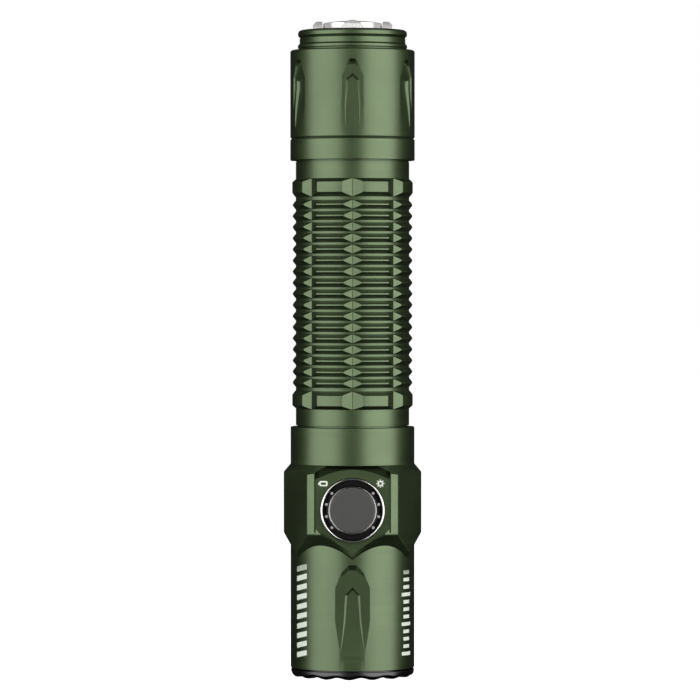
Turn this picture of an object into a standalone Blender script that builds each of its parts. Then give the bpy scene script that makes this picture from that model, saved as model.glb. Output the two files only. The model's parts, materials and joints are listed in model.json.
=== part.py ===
"""Tactical flashlight with a side switch, a pressed tail switch and a screw-off tail cap.

The light stands on its strike bezel: +Z runs up the tube to the tail and the side switch faces -Y.
The origin is on the tube's axis, in the plane of the bezel's tips. Units are metres.
"""

import math

import bmesh
import bpy
from mathutils import Matrix, Vector

MM = 0.001

# Clearances
FACE_GAP = 0.30 * MM  # between faces that seat on each other
THREAD_GAP = 0.30 * MM  # all round a screwed joint, whose threads are left plain
FIT_GAP = 0.15 * MM  # all round a piece that drops into a bore or a hole
SEAL_GAP = 0.10 * MM  # round an O-ring
OVERRUN = 1.00 * MM  # how far a cutter or a joined piece runs past the face it meets

# Facets of turned pieces: multiples of 8, so that the grip's flutes fall on them
SIDES = 40
SMALL_SIDES = 24

# Cell
CELL_R = 10.75 * MM
CELL_LENGTH = 70.00 * MM
CELL_EDGE = 0.80 * MM
CELL_CAP_R = 3.90 * MM
CELL_CAP_T = 1.00 * MM
INSULATOR_W = 4.60 * MM
INSULATOR_T = 0.40 * MM
CELL_CLEARANCE = 0.25 * MM
BORE_R = CELL_R + CELL_CLEARANCE
CELL_PAST_RIDGES = 30.305 * MM  # the part of the cell that the ridged run doesn't cover
LOWER_SPIGOT_R = BORE_R + 0.60 * MM  # the tube's spigot in the head
COLLAR_WALL = 1.15 * MM
HEAD_R = LOWER_SPIGOT_R + THREAD_GAP + COLLAR_WALL

# Strike bezel
BEZEL_R = HEAD_R - 0.10 * MM
BEZEL_H = 1.60 * MM
BEZEL_ROUND_Z = 1.10 * MM
BEZEL_TIP_R = HEAD_R - 1.10 * MM
BEZEL_SHOULDER_W = 0.60 * MM
BEZEL_SHOULDER_Z = 0.30 * MM
BEZEL_MOUTH_R = HEAD_R - 2.65 * MM
BEZEL_SPIGOT_R = HEAD_R - 1.15 * MM
BEZEL_SPIGOT_H = 2.70 * MM
BEZEL_SPIGOT_WALL = 0.60 * MM
LOBES = 15
LOBE_SIDES = 5  # facets a lobe: one flat tip, one flat root and the slopes between
LOBE_DEPTH = 0.45 * MM
LOBE_TURN = math.radians(-93.5)

# Optics
GLASS_T = 1.80 * MM
LENS_SEAL_T = 0.80 * MM
LENS_SEAL_W = 0.80 * MM
REFLECTOR_FLANGE_T = 1.00 * MM
REFLECTOR_MOUTH_R = 10.50 * MM
REFLECTOR_DEPTH = 14.50 * MM
REFLECTOR_FOCUS = 1.64 * MM
REFLECTOR_WALL = 0.80 * MM
REFLECTOR_RINGS = 6
GASKET_T = 1.00 * MM
GASKET_R = 5.40 * MM
EMITTER_W = 5.00 * MM
EMITTER_T = 0.70 * MM
EMITTER_LIFT = 0.30 * MM
LED_BOARD_R = 9.50 * MM
LED_BOARD_T = 1.60 * MM
SCREW_SPREAD = 7.20 * MM
SCREW_R = 0.90 * MM
SCREW_HEAD_R = 1.60 * MM
SCREW_HEAD_T = 0.80 * MM
SCREW_LENGTH = 3.00 * MM
SCREW_BORE_DEPTH = 1.20 * MM  # in the shelf

# Head housing
HEAD_LENGTH = 50.70 * MM
HEAD_MOUTH_DEPTH = 6.00 * MM
HEAD_WALL = 1.85 * MM
SHELF_T = 2.50 * MM
WIRE_HOLE_R = 1.60 * MM
BAY_WALL = 2.45 * MM
COLLAR_LENGTH = 7.80 * MM
COLLAR_CHAMFER = 0.20 * MM
DRIVER_POCKET_DEPTH = 8.00 * MM
DRIVER_POCKET_R = BORE_R + 0.30 * MM
LUG_LENGTH = 12.70 * MM
LUG_LAND_R = HEAD_R + 1.42 * MM
LUG_FACE_R = HEAD_R + 0.78 * MM
LUG_RUN_IN = 1.70 * MM
LUG_RUN_OUT = 3.00 * MM
LUG_SIDES = 6
LUG_TAPER_PAST = 2.4  # run-outs that bring the lower taper inside the barrel

# Recess for the side switch
RECESS_FLOOR = HEAD_R - 0.85 * MM
RECESS_HALF_W = 7.70 * MM
RECESS_WALL_RUN = 0.50 * MM
RECESS_TOP_DROP = 0.70 * MM
RECESS_SIDE_DROP = 13.20 * MM
RECESS_POINT_DROP = 18.50 * MM
RECESS_CONE = 0.90

# Pockets: outer outline on the barrel and the floor that runs out of it
HEAD_POCKET = dict(top=24.1, shoulder=19.3, foot=4.7, half=3.65, foot_half=2.40, deep=1.15, floor_half=1.50)
HEAD_POCKETS = 2
TAIL_POCKET = dict(top=20.0, shoulder=16.9, foot=7.1, half=2.40, foot_half=1.80, deep=1.25, floor_half=1.05)
TAIL_POCKETS = 6

# Side switch, all measured from its own axis or out from the tube's axis
SWITCH_DROP_FROM_COLLAR = 9.30 * MM
RING_R = 6.68 * MM
RING_WALL = 0.38 * MM
RING_EDGE = 0.12 * MM
RING_TOP = HEAD_R + 0.78 * MM
SWITCH_LEDGE = HEAD_R - 1.50 * MM
SWITCH_LEDGE_R = RING_R - 0.78 * MM
WINDOW_TOP = HEAD_R + 0.35 * MM
SWITCH_CAP_R = RING_R - 1.70 * MM
SWITCH_CAP_TOP = HEAD_R + 0.57 * MM
SWITCH_CAP_DOME = 0.12 * MM
SWITCH_CAP_EDGE = 0.30 * MM
SWITCH_FLANGE_W = 0.42 * MM
SWITCH_FLANGE_T = 0.40 * MM
SWITCH_TRAVEL = 0.50 * MM
DOT_R = 0.30 * MM
DOT_CIRCLE_R = RING_R - 1.10 * MM
DOT_GAP = 0.06 * MM
DOT_SIDES = 12
DOT_ANGLES = (13.1, 39.6)
SEAL_T = 0.60 * MM
TACT_W = 5.20 * MM
TACT_T = 1.60 * MM
TACT_PLUNGER_R = 1.30 * MM
TACT_PLUNGER_T = 0.50 * MM
SWITCH_BOARD_W = 13.00 * MM
SWITCH_BOARD_H = 15.00 * MM
BOARD_T = 0.80 * MM

# Driver
DRIVER_T = 1.60 * MM
DRIVER_RING_T = 0.80 * MM
DRIVER_RING_W = 2.00 * MM
CONTACT_R = 2.50 * MM

# Battery tube
TUBE_BAND_R = BORE_R + 0.94 * MM
TUBE_RING_R = BORE_R + 1.86 * MM
RIDGE_CREST_R = BORE_R + 1.70 * MM
RIDGE_VALLEY_R = BORE_R + 0.95 * MM
RIDGES = 17
RIDGE_PITCH = (CELL_LENGTH - CELL_PAST_RIDGES) / RIDGES
LOWER_BAND = 3.50 * MM
UPPER_BAND = 3.60 * MM
RING_SLOPE = 0.90 * MM
RING_FLAT = 2.10 * MM
RING_FALL = 1.30 * MM
FLUTES = 8
FLUTE_R = BORE_R + 1.00 * MM
FLUTE_SLOPE = math.tan(math.radians(17.0))
LOWER_SPIGOT_H = 5.00 * MM
LOWER_LIP_H = 3.00 * MM
LOWER_LIP_R = BORE_R - 1.20 * MM
UPPER_SPIGOT_R = BORE_R + 0.85 * MM
UPPER_SPIGOT_H = 10.00 * MM
ORING_W = 1.20 * MM
ORING_DEPTH = 0.50 * MM
ORING_LAND = 1.10 * MM

# Tail cap
CAP_WALL = 0.95 * MM
CAP_R = UPPER_SPIGOT_R + THREAD_GAP + CAP_WALL
CAP_LENGTH = 23.20 * MM
CAP_V_HEIGHT = 4.60 * MM
CAP_V_DEPTH = 0.25 * MM
CAP_V_HALF = 0.30 * MM
CAP_CHAMFER = 0.30 * MM
CAP_THREAD_H = 10.40 * MM
CAP_CAVITY_R = BORE_R
CAP_CAVITY_TOP = 20.80 * MM
TAIL_LIP_R = CAP_R - 1.63 * MM
TAIL_GROOVE_R = CAP_R - 1.97 * MM
TAIL_COLLAR_H = 4.20 * MM
TAIL_LIP_H = 1.00 * MM
TAIL_RIM_H = 1.10 * MM
TAIL_SLOPE = 0.40 * MM
BUTTON_BORE_R = CAP_CAVITY_R - 1.25 * MM
BUTTON_LIP_R = BUTTON_BORE_R - 0.80 * MM
BUTTON_LIP_T = 1.00 * MM

# Tail switch
SPRING_WIRE_R = 0.40 * MM
SPRING_TURNS = 3.5
SPRING_TOP_R = 6.50 * MM
SPRING_TIP_R = 3.60 * MM
TAIL_BOARD_T = 1.40 * MM
TAIL_BOARD_R = CAP_CAVITY_R - 0.40 * MM
TAIL_RING_T = 1.20 * MM
TAIL_RING_W = 1.50 * MM
TAIL_TACT_W = 6.00 * MM
TAIL_PLUNGER_R = 1.75 * MM
TAIL_PLUNGER_T = 0.40 * MM
BUTTON_R = BUTTON_LIP_R - 0.35 * MM
BUTTON_FLANGE_W = 0.80 * MM
BUTTON_FLANGE_T = 1.10 * MM
BUTTON_EDGE = 0.25 * MM  # how far the plate's rim stands above the tail's end
BUTTON_DOME = 1.75 * MM
BUTTON_TRAVEL = 1.20 * MM
BUTTON_STEM_R = 2.80 * MM
BUMPS = 4
BUMP_R = 2.70 * MM
BUMP_IN = 6.30 * MM
BUMP_OUT = 8.35 * MM
BUMP_TOP = 1.85 * MM
BUMP_CHAMFER = 0.80 * MM
BUMP_SINK = 0.60 * MM  # into the plate it is joined to
BUTTON_SEAL_T = 0.60 * MM
CHARGE_PIN_R = 1.60 * MM
CHARGE_INSULATOR_W = 0.80 * MM
MAGNET_T = 0.90 * MM

# Stations up the axis
HEAD_FOOT = BEZEL_H + FACE_GAP
HEAD_TOP = HEAD_FOOT + HEAD_LENGTH
COLLAR_FOOT = HEAD_TOP - COLLAR_LENGTH
LUG_TOP = COLLAR_FOOT - LUG_RUN_IN
LUG_FOOT = LUG_TOP - LUG_LENGTH
SWITCH_Z = COLLAR_FOOT - SWITCH_DROP_FROM_COLLAR
GLASS_FOOT = BEZEL_H + FACE_GAP
SEAL_FOOT = GLASS_FOOT + GLASS_T + FACE_GAP
REFLECTOR_FOOT = SEAL_FOOT + LENS_SEAL_T + FACE_GAP
REFLECTOR_APEX = REFLECTOR_FOOT + REFLECTOR_MOUTH_R**2 / (4 * REFLECTOR_FOCUS)
REFLECTOR_TOP = REFLECTOR_FOOT + REFLECTOR_DEPTH
GASKET_FOOT = REFLECTOR_TOP + FACE_GAP
LED_BOARD_FOOT = GASKET_FOOT + GASKET_T + FACE_GAP
SHELF_FOOT = LED_BOARD_FOOT + LED_BOARD_T + FACE_GAP
SHELF_TOP = SHELF_FOOT + SHELF_T
DRIVER_LEDGE = HEAD_TOP - DRIVER_POCKET_DEPTH
DRIVER_FOOT = DRIVER_LEDGE + FACE_GAP
DRIVER_RING_FOOT = DRIVER_FOOT + DRIVER_T + FACE_GAP
COLLAR_BORE_FOOT = HEAD_TOP - LOWER_SPIGOT_H
TUBE_FOOT = HEAD_TOP + FACE_GAP
TUBE_SPIGOT_FOOT = TUBE_FOOT - LOWER_SPIGOT_H + FACE_GAP
CELL_FOOT = TUBE_SPIGOT_FOOT + LOWER_LIP_H + FACE_GAP
CELL_TOP = CELL_FOOT + CELL_LENGTH
CELL_CAP_FOOT = CELL_FOOT - FACE_GAP - CELL_CAP_T
GRIP_FOOT = TUBE_FOOT + LOWER_BAND
RIDGE_FOOT = GRIP_FOOT + RING_SLOPE + RING_FLAT + RING_FALL
RIDGE_TOP = RIDGE_FOOT + RIDGES * RIDGE_PITCH
GRIP_TOP = RIDGE_TOP + RING_FALL + RING_FLAT + RING_SLOPE
TUBE_TOP = GRIP_TOP + UPPER_BAND
CAP_FOOT = TUBE_TOP + FACE_GAP
CAP_TOP = CAP_FOOT + CAP_LENGTH
TAIL_TOP = CAP_TOP + TAIL_COLLAR_H
TAIL_LIP_TOP = CAP_TOP + TAIL_LIP_H
TAIL_RIM_FOOT = TAIL_TOP - TAIL_RIM_H
CAP_CAVITY_END = CAP_FOOT + CAP_CAVITY_TOP
SPRING_FOOT = CELL_TOP + FACE_GAP
TAIL_BOARD_FOOT = CAP_CAVITY_END - FACE_GAP - TAIL_BOARD_T
TAIL_RING_FOOT = TAIL_BOARD_FOOT - FACE_GAP - TAIL_RING_T
TAIL_TACT_FOOT = TAIL_BOARD_FOOT + TAIL_BOARD_T + FACE_GAP
BUTTON_FLANGE_TOP = TAIL_TOP - BUTTON_LIP_T - FACE_GAP
BUTTON_FLANGE_FOOT = BUTTON_FLANGE_TOP - BUTTON_FLANGE_T
MAGNET_FOOT = BUTTON_FLANGE_FOOT - FACE_GAP - MAGNET_T
TAIL_PLUNGER_TOP = MAGNET_FOOT - BUTTON_TRAVEL - FACE_GAP
TAIL_TACT_T = TAIL_PLUNGER_TOP - TAIL_PLUNGER_T - TAIL_TACT_FOOT
BUTTON_PLATE_Z = TAIL_TOP + BUTTON_EDGE
DOME_TOP = BUTTON_PLATE_Z + BUTTON_DOME

OLIVE = ("olive_anodised", (0.045, 0.070, 0.030), 1.0, 0.38)
GUNMETAL = ("gunmetal_anodised", (0.03, 0.03, 0.03), 1.0, 0.35)
STEEL = ("brushed_steel", (0.60, 0.60, 0.59), 1.0, 0.30)
CHROME = ("bright_chrome", (0.75, 0.75, 0.74), 1.0, 0.12)
MIRROR = ("vacuum_aluminium", (0.85, 0.85, 0.85), 1.0, 0.06)
BRASS = ("gold_plated_brass", (0.80, 0.55, 0.22), 1.0, 0.25)
GLASS = ("coated_glass", (0.75, 0.80, 0.85), 0.0, 0.03)
RUBBER = ("black_nbr", (0.015, 0.015, 0.015), 0.0, 0.70)
BLACK_PLASTIC = ("black_acetal", (0.010, 0.010, 0.010), 0.0, 0.25)
WHITE_PLASTIC = ("white_nylon", (0.80, 0.80, 0.78), 0.0, 0.50)
DARK_CAP = ("smoked_polycarbonate", (0.045, 0.045, 0.043), 0.0, 0.35)
DIFFUSER = ("diffuser_acrylic", (0.35, 0.35, 0.35), 0.0, 0.40)
BOARD = ("green_fibreglass", (0.02, 0.10, 0.05), 0.0, 0.45)
PHOSPHOR = ("yellow_phosphor", (0.80, 0.65, 0.12), 0.0, 0.40)
WRAP = ("shrink_wrap", (0.05, 0.05, 0.06), 0.0, 0.45)
NICKEL = ("nickel_plate", (0.70, 0.68, 0.64), 1.0, 0.25)


def clear_scene():
    for obj in list(bpy.data.objects):
        bpy.data.objects.remove(obj, do_unlink=True)


def material(look):
    name, colour, metallic, roughness = look
    found = bpy.data.materials.get(name)
    if found:
        return found
    made = bpy.data.materials.new(name)
    made.use_nodes = True
    shader = made.node_tree.nodes["Principled BSDF"]
    shader.inputs["Base Color"].default_value = (*colour, 1.0)
    shader.inputs["Metallic"].default_value = metallic
    shader.inputs["Roughness"].default_value = roughness
    return made


def place(name, bm, look, turn=None):
    """One object from a finished bmesh, with its place kept in its mesh."""
    bmesh.ops.remove_doubles(bm, verts=bm.verts, dist=1e-7)
    bmesh.ops.dissolve_degenerate(bm, edges=bm.edges, dist=1e-8)
    bmesh.ops.recalc_face_normals(bm, faces=bm.faces)
    if turn is not None:
        bmesh.ops.transform(bm, matrix=turn, verts=bm.verts)
    mesh = bpy.data.meshes.new(name)
    bm.to_mesh(mesh)
    bm.free()
    mesh.shade_smooth()
    mesh.set_sharp_from_angle(angle=math.radians(30))
    obj = bpy.data.objects.new(name, mesh)
    bpy.context.scene.collection.objects.link(obj)
    if look:
        mesh.materials.append(material(look))
    return obj


def spun(outline, sides):
    """A closed outline of (radius, height) points spun round +Z. A run along the axis makes no face."""
    bm = bmesh.new()
    verts = [bm.verts.new((radius, 0.0, height)) for radius, height in outline]
    pairs = [(verts[i - 1], verts[i]) for i in range(len(verts))]
    edges = [bm.edges.new(pair) for pair in pairs if pair[0].co.x or pair[1].co.x]
    bmesh.ops.spin(
        bm, geom=verts + edges, cent=(0, 0, 0), axis=(0, 0, 1),
        angle=math.tau, steps=sides, use_merge=True, use_duplicate=False,
    )
    bmesh.ops.remove_doubles(bm, verts=bm.verts, dist=1e-7)
    return bm


def turned(name, outline, look, sides=SIDES, turn=None):
    return place(name, spun(outline, sides), look, turn)


def washer(name, inner, outer, foot, height, look, sides=SIDES, turn=None):
    outline = [(inner, foot), (outer, foot), (outer, foot + height), (inner, foot + height)]
    return turned(name, outline, look, sides, turn)


def disc(name, radius, foot, height, look, sides=SIDES, turn=None):
    return washer(name, 0.0, radius, foot, height, look, sides, turn)


def block(name, size, centre, look, turn=None):
    bm = bmesh.new()
    bmesh.ops.create_cube(bm, size=1.0)
    bmesh.ops.scale(bm, vec=size, verts=bm.verts)
    bmesh.ops.translate(bm, vec=centre, verts=bm.verts)
    return place(name, bm, look, turn)


def cut_from_block(size, centre, planes):
    """A block trimmed by planes, each given as a point on it and its outward normal."""
    bm = bmesh.new()
    bmesh.ops.create_cube(bm, size=1.0)
    bmesh.ops.scale(bm, vec=size, verts=bm.verts)
    bmesh.ops.translate(bm, vec=centre, verts=bm.verts)
    for point, normal in planes:
        cut = bmesh.ops.bisect_plane(
            bm, geom=bm.verts[:] + bm.edges[:] + bm.faces[:], dist=1e-8,
            plane_co=point, plane_no=normal, clear_outer=True,
        )
        edges = [item for item in cut["geom_cut"] if isinstance(item, bmesh.types.BMEdge)]
        bmesh.ops.holes_fill(bm, edges=edges, sides=0)
    return bm


def through(a, b, c, inside):
    """The plane through three points, with its normal pointing away from the point inside."""
    normal = (Vector(b) - Vector(a)).cross(Vector(c) - Vector(a)).normalized()
    if normal.dot(Vector(inside) - Vector(a)) > 0:
        normal.negate()
    return a, normal


def as_cutter(obj):
    obj.hide_render = True
    obj.display_type = "WIRE"
    return obj


def combine(obj, tool, operation):
    modifier = obj.modifiers.new(tool.name, "BOOLEAN")
    modifier.operation = operation
    modifier.solver = "EXACT"
    modifier.object = tool
    return obj


def cut(obj, tool):
    return combine(obj, as_cutter(tool), "DIFFERENCE")


def join(obj, tool):
    return combine(obj, as_cutter(tool), "UNION")


def around(index, count, start=-math.pi / 2):
    """Turns a piece made facing +X so that it faces one of count directions, the first -Y."""
    return Matrix.Rotation(start + math.tau * index / count, 4, "Z")


FACING_SWITCH = Matrix.Translation((0, 0, SWITCH_Z)) @ Matrix.Rotation(math.pi / 2, 4, "X")


def strike_bezel():
    spigot_top = BEZEL_H + BEZEL_SPIGOT_H
    outline = [
        (BEZEL_MOUTH_R, BEZEL_H), (BEZEL_MOUTH_R, 0), (BEZEL_TIP_R, 0),
        (BEZEL_TIP_R + BEZEL_SHOULDER_W, BEZEL_SHOULDER_Z), (BEZEL_R, BEZEL_ROUND_Z),
        (BEZEL_R, BEZEL_H), (BEZEL_SPIGOT_R, BEZEL_H), (BEZEL_SPIGOT_R, spigot_top),
        (BEZEL_SPIGOT_R - BEZEL_SPIGOT_WALL, spigot_top), (BEZEL_SPIGOT_R - BEZEL_SPIGOT_WALL, BEZEL_H),
    ]
    sides = LOBES * LOBE_SIDES
    bm = spun(outline, sides)
    step = math.tau / sides
    heights = (0.0, 0.0, 0.5, 1.0, 0.5)
    for vert in bm.verts:
        if vert.co.z < BEZEL_ROUND_Z - 1e-6:
            column = round(math.atan2(vert.co.y, vert.co.x) / step) % LOBE_SIDES
            fade = 1 - vert.co.z / BEZEL_ROUND_Z
            vert.co.z += LOBE_DEPTH * heights[column] * fade
    turn = Matrix.Rotation(LOBE_TURN - step / 2, 4, "Z")
    return place("strike_bezel", bm, GUNMETAL, turn)


def optics():
    glass_r = BEZEL_SPIGOT_R - BEZEL_SPIGOT_WALL - FIT_GAP
    disc("front_glass", glass_r, GLASS_FOOT, GLASS_T, GLASS)
    washer("lens_seal", glass_r - LENS_SEAL_W, glass_r, SEAL_FOOT, LENS_SEAL_T, RUBBER)
    bowl = []
    for i in range(REFLECTOR_RINGS + 1):
        height = REFLECTOR_FOOT + REFLECTOR_DEPTH * i / REFLECTOR_RINGS
        bowl.append((math.sqrt(4 * REFLECTOR_FOCUS * (REFLECTOR_APEX - height)), height))
    outside = [(radius + REFLECTOR_WALL, height) for radius, height in reversed(bowl)]
    flange_top = REFLECTOR_FOOT + REFLECTOR_FLANGE_T
    outside = [point for point in outside if point[1] > flange_top]
    first_r = math.sqrt(4 * REFLECTOR_FOCUS * (REFLECTOR_APEX - flange_top)) + REFLECTOR_WALL
    flange = [(first_r, flange_top), (glass_r, flange_top), (glass_r, REFLECTOR_FOOT)]
    turned("reflector", bowl + outside + flange, MIRROR)
    board_hole = EMITTER_W / math.sqrt(2) + FIT_GAP
    washer("led_gasket", board_hole, GASKET_R, GASKET_FOOT, GASKET_T, WHITE_PLASTIC, SMALL_SIDES)
    emitter_z = LED_BOARD_FOOT - EMITTER_LIFT - EMITTER_T / 2
    block("led_emitter", (EMITTER_W, EMITTER_W, EMITTER_T), (0, 0, emitter_z), PHOSPHOR)
    board = disc("led_board", LED_BOARD_R, LED_BOARD_FOOT, LED_BOARD_T, WHITE_PLASTIC, SMALL_SIDES)
    for side, label in ((1, "1"), (-1, "2")):
        x = side * SCREW_SPREAD
        hole_r = SCREW_R + FIT_GAP
        bore = disc("board_bore_" + label, hole_r, LED_BOARD_FOOT - MM, LED_BOARD_T + 2 * MM, None, 16,
                    Matrix.Translation((x, 0, 0)))
        cut(board, bore)
        head_z = LED_BOARD_FOOT - FACE_GAP
        outline = [
            (0, head_z - SCREW_HEAD_T), (SCREW_HEAD_R, head_z - SCREW_HEAD_T), (SCREW_HEAD_R, head_z),
            (SCREW_R, head_z), (SCREW_R, head_z + SCREW_LENGTH), (0, head_z + SCREW_LENGTH),
        ]
        turned("board_screw_" + label, outline, STEEL, 16, Matrix.Translation((x, 0, 0)))


def pocket_cutter(name, spec, barrel_r, foot, index, count):
    """An arrow-headed pocket whose floor is deepest under its point and runs out at its foot."""
    top, shoulder, low = (foot + spec[key] * MM for key in ("top", "shoulder", "foot"))
    half, foot_half, floor_half = (spec[key] * MM for key in ("half", "foot_half", "floor_half"))
    floor_r = barrel_r - spec["deep"] * MM
    inside = (barrel_r, 0, (shoulder + low) / 2)
    planes = [through((floor_r, 0, shoulder), (floor_r, MM, shoulder), (barrel_r, 0, low), (2 * barrel_r, 0, low))]
    for side in (1, -1):
        apex = (barrel_r, 0, top)
        corner = (barrel_r, side * half, shoulder)
        toe = (barrel_r, side * foot_half, low)
        planes.append(through(apex, corner, (floor_r, 0, shoulder), inside))
        planes.append(through(corner, toe, (floor_r, side * floor_half, shoulder - 2 * MM), inside))
    size = (6 * MM, 4 * half, 2 * (top - low))
    bm = cut_from_block(size, (barrel_r, 0, (top + low) / 2), planes)
    return place(name, bm, None, around(index, count))


def lug_block():
    """The twelve-sided lug: six lands and six lower faces, run in and out by sloping planes."""
    planes = []
    rise = LUG_LAND_R - HEAD_R
    for index in range(2 * LUG_SIDES):
        angle = math.pi * index / LUG_SIDES
        out = Vector((math.cos(angle), math.sin(angle), 0))
        reach = LUG_LAND_R if index % 2 == 0 else LUG_FACE_R
        planes.append((out * reach, out))
        run_out = (out * LUG_RUN_OUT - Vector((0, 0, rise))).normalized()
        planes.append((out * LUG_LAND_R + Vector((0, 0, LUG_FOOT)), run_out))
        run_in = (out * LUG_RUN_IN + Vector((0, 0, rise))).normalized()
        planes.append((out * LUG_LAND_R + Vector((0, 0, LUG_TOP)), run_in))
    foot = LUG_FOOT - LUG_RUN_OUT * LUG_TAPER_PAST
    top = COLLAR_FOOT + OVERRUN / 2
    width = 3 * LUG_LAND_R
    bm = cut_from_block((width, width, top - foot), (0, 0, (top + foot) / 2), planes)
    return place("lug_block", bm, None)


def recess_cutter():
    """The flat seat of the side switch: square shoulders, a pointed foot and a coned top."""
    floor = -RECESS_FLOOR
    outer = floor - 2 * MM
    spread = RECESS_WALL_RUN * 2 * MM / (HEAD_R - RECESS_FLOOR)
    top = COLLAR_FOOT - RECESS_TOP_DROP
    side_z = COLLAR_FOOT - RECESS_SIDE_DROP
    point_z = COLLAR_FOOT - RECESS_POINT_DROP
    inside = (0, floor - MM, SWITCH_Z)
    planes = [((0, floor, 0), (0, 1, 0)), ((0, 0, top), (0, 0, 1))]
    for side in (1, -1):
        low = (side * RECESS_HALF_W, floor, side_z)
        high = (side * RECESS_HALF_W, floor, top)
        flare = (side * (RECESS_HALF_W + spread), outer, side_z)
        point = (0, floor, point_z)
        point_flare = (0, outer, point_z - spread)
        planes.append(through(low, high, flare, inside))
        planes.append(through(low, point, point_flare, inside))
    height = 3 * LUG_LENGTH
    width = 3 * LUG_LAND_R
    depth = 8 * OVERRUN
    bm = cut_from_block((width, depth, height), (0, floor + OVERRUN / 2 - depth / 2, SWITCH_Z), planes)
    cutter = place("recess_cutter", bm, None)
    reach = LUG_LAND_R - RECESS_FLOOR + 4 * OVERRUN
    cone = [(0, top), (RECESS_FLOOR, top), (RECESS_FLOOR + reach, top - reach * RECESS_CONE),
            (RECESS_FLOOR + reach, top + OVERRUN), (0, top + OVERRUN)]
    return cut(cutter, turned("recess_cone", cone, None))


def head_housing():
    """A solid turned body with the lug on it, then every bore, recess and pocket cut out of it."""
    outline = [
        (0, HEAD_FOOT), (HEAD_R, HEAD_FOOT), (HEAD_R, HEAD_TOP - COLLAR_CHAMFER),
        (HEAD_R - COLLAR_CHAMFER, HEAD_TOP), (0, HEAD_TOP),
    ]
    head = turned("head_housing", outline, OLIVE)
    join(head, lug_block())
    cut(head, recess_cutter())
    for index in range(HEAD_POCKETS):
        cut(head, pocket_cutter("head_pocket_%d" % index, HEAD_POCKET, HEAD_R, 0, index, HEAD_POCKETS))
    past = 2 * OVERRUN
    bore = HEAD_R - HEAD_WALL
    mouth = BEZEL_SPIGOT_R + THREAD_GAP
    mouth_top = HEAD_FOOT + HEAD_MOUTH_DEPTH
    front = [(0, HEAD_FOOT - past), (mouth, HEAD_FOOT - past), (mouth, mouth_top), (bore, mouth_top),
             (bore, SHELF_FOOT), (0, SHELF_FOOT)]
    cut(head, turned("front_bore", front, None))
    bay = HEAD_R - BAY_WALL
    socket = LOWER_SPIGOT_R + THREAD_GAP
    rear = [(0, SHELF_TOP), (bay, SHELF_TOP), (bay, DRIVER_LEDGE), (DRIVER_POCKET_R, DRIVER_LEDGE),
            (DRIVER_POCKET_R, COLLAR_BORE_FOOT), (socket, COLLAR_BORE_FOOT), (socket, HEAD_TOP + past),
            (0, HEAD_TOP + past)]
    cut(head, turned("rear_bore", rear, None))
    cut(head, disc("wire_bore", WIRE_HOLE_R, SHELF_FOOT - OVERRUN, SHELF_T + 2 * OVERRUN, None, 16))
    for side, label in ((1, "1"), (-1, "2")):
        place_at = Matrix.Translation((side * SCREW_SPREAD, 0, 0))
        cut(head, disc("shelf_bore_" + label, SCREW_R + FIT_GAP, SHELF_FOOT - OVERRUN,
                       OVERRUN + SCREW_BORE_DEPTH, None, 16, place_at))
    cut(head, disc("switch_bore", RING_R + FIT_GAP, SWITCH_LEDGE,
                   LUG_LAND_R + OVERRUN - SWITCH_LEDGE, None, SIDES, FACING_SWITCH))
    plunger_foot = bay / 2
    cut(head, disc("plunger_bore", SWITCH_LEDGE_R, plunger_foot, SWITCH_LEDGE + OVERRUN - plunger_foot,
                   None, SMALL_SIDES, FACING_SWITCH))
    return head


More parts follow.
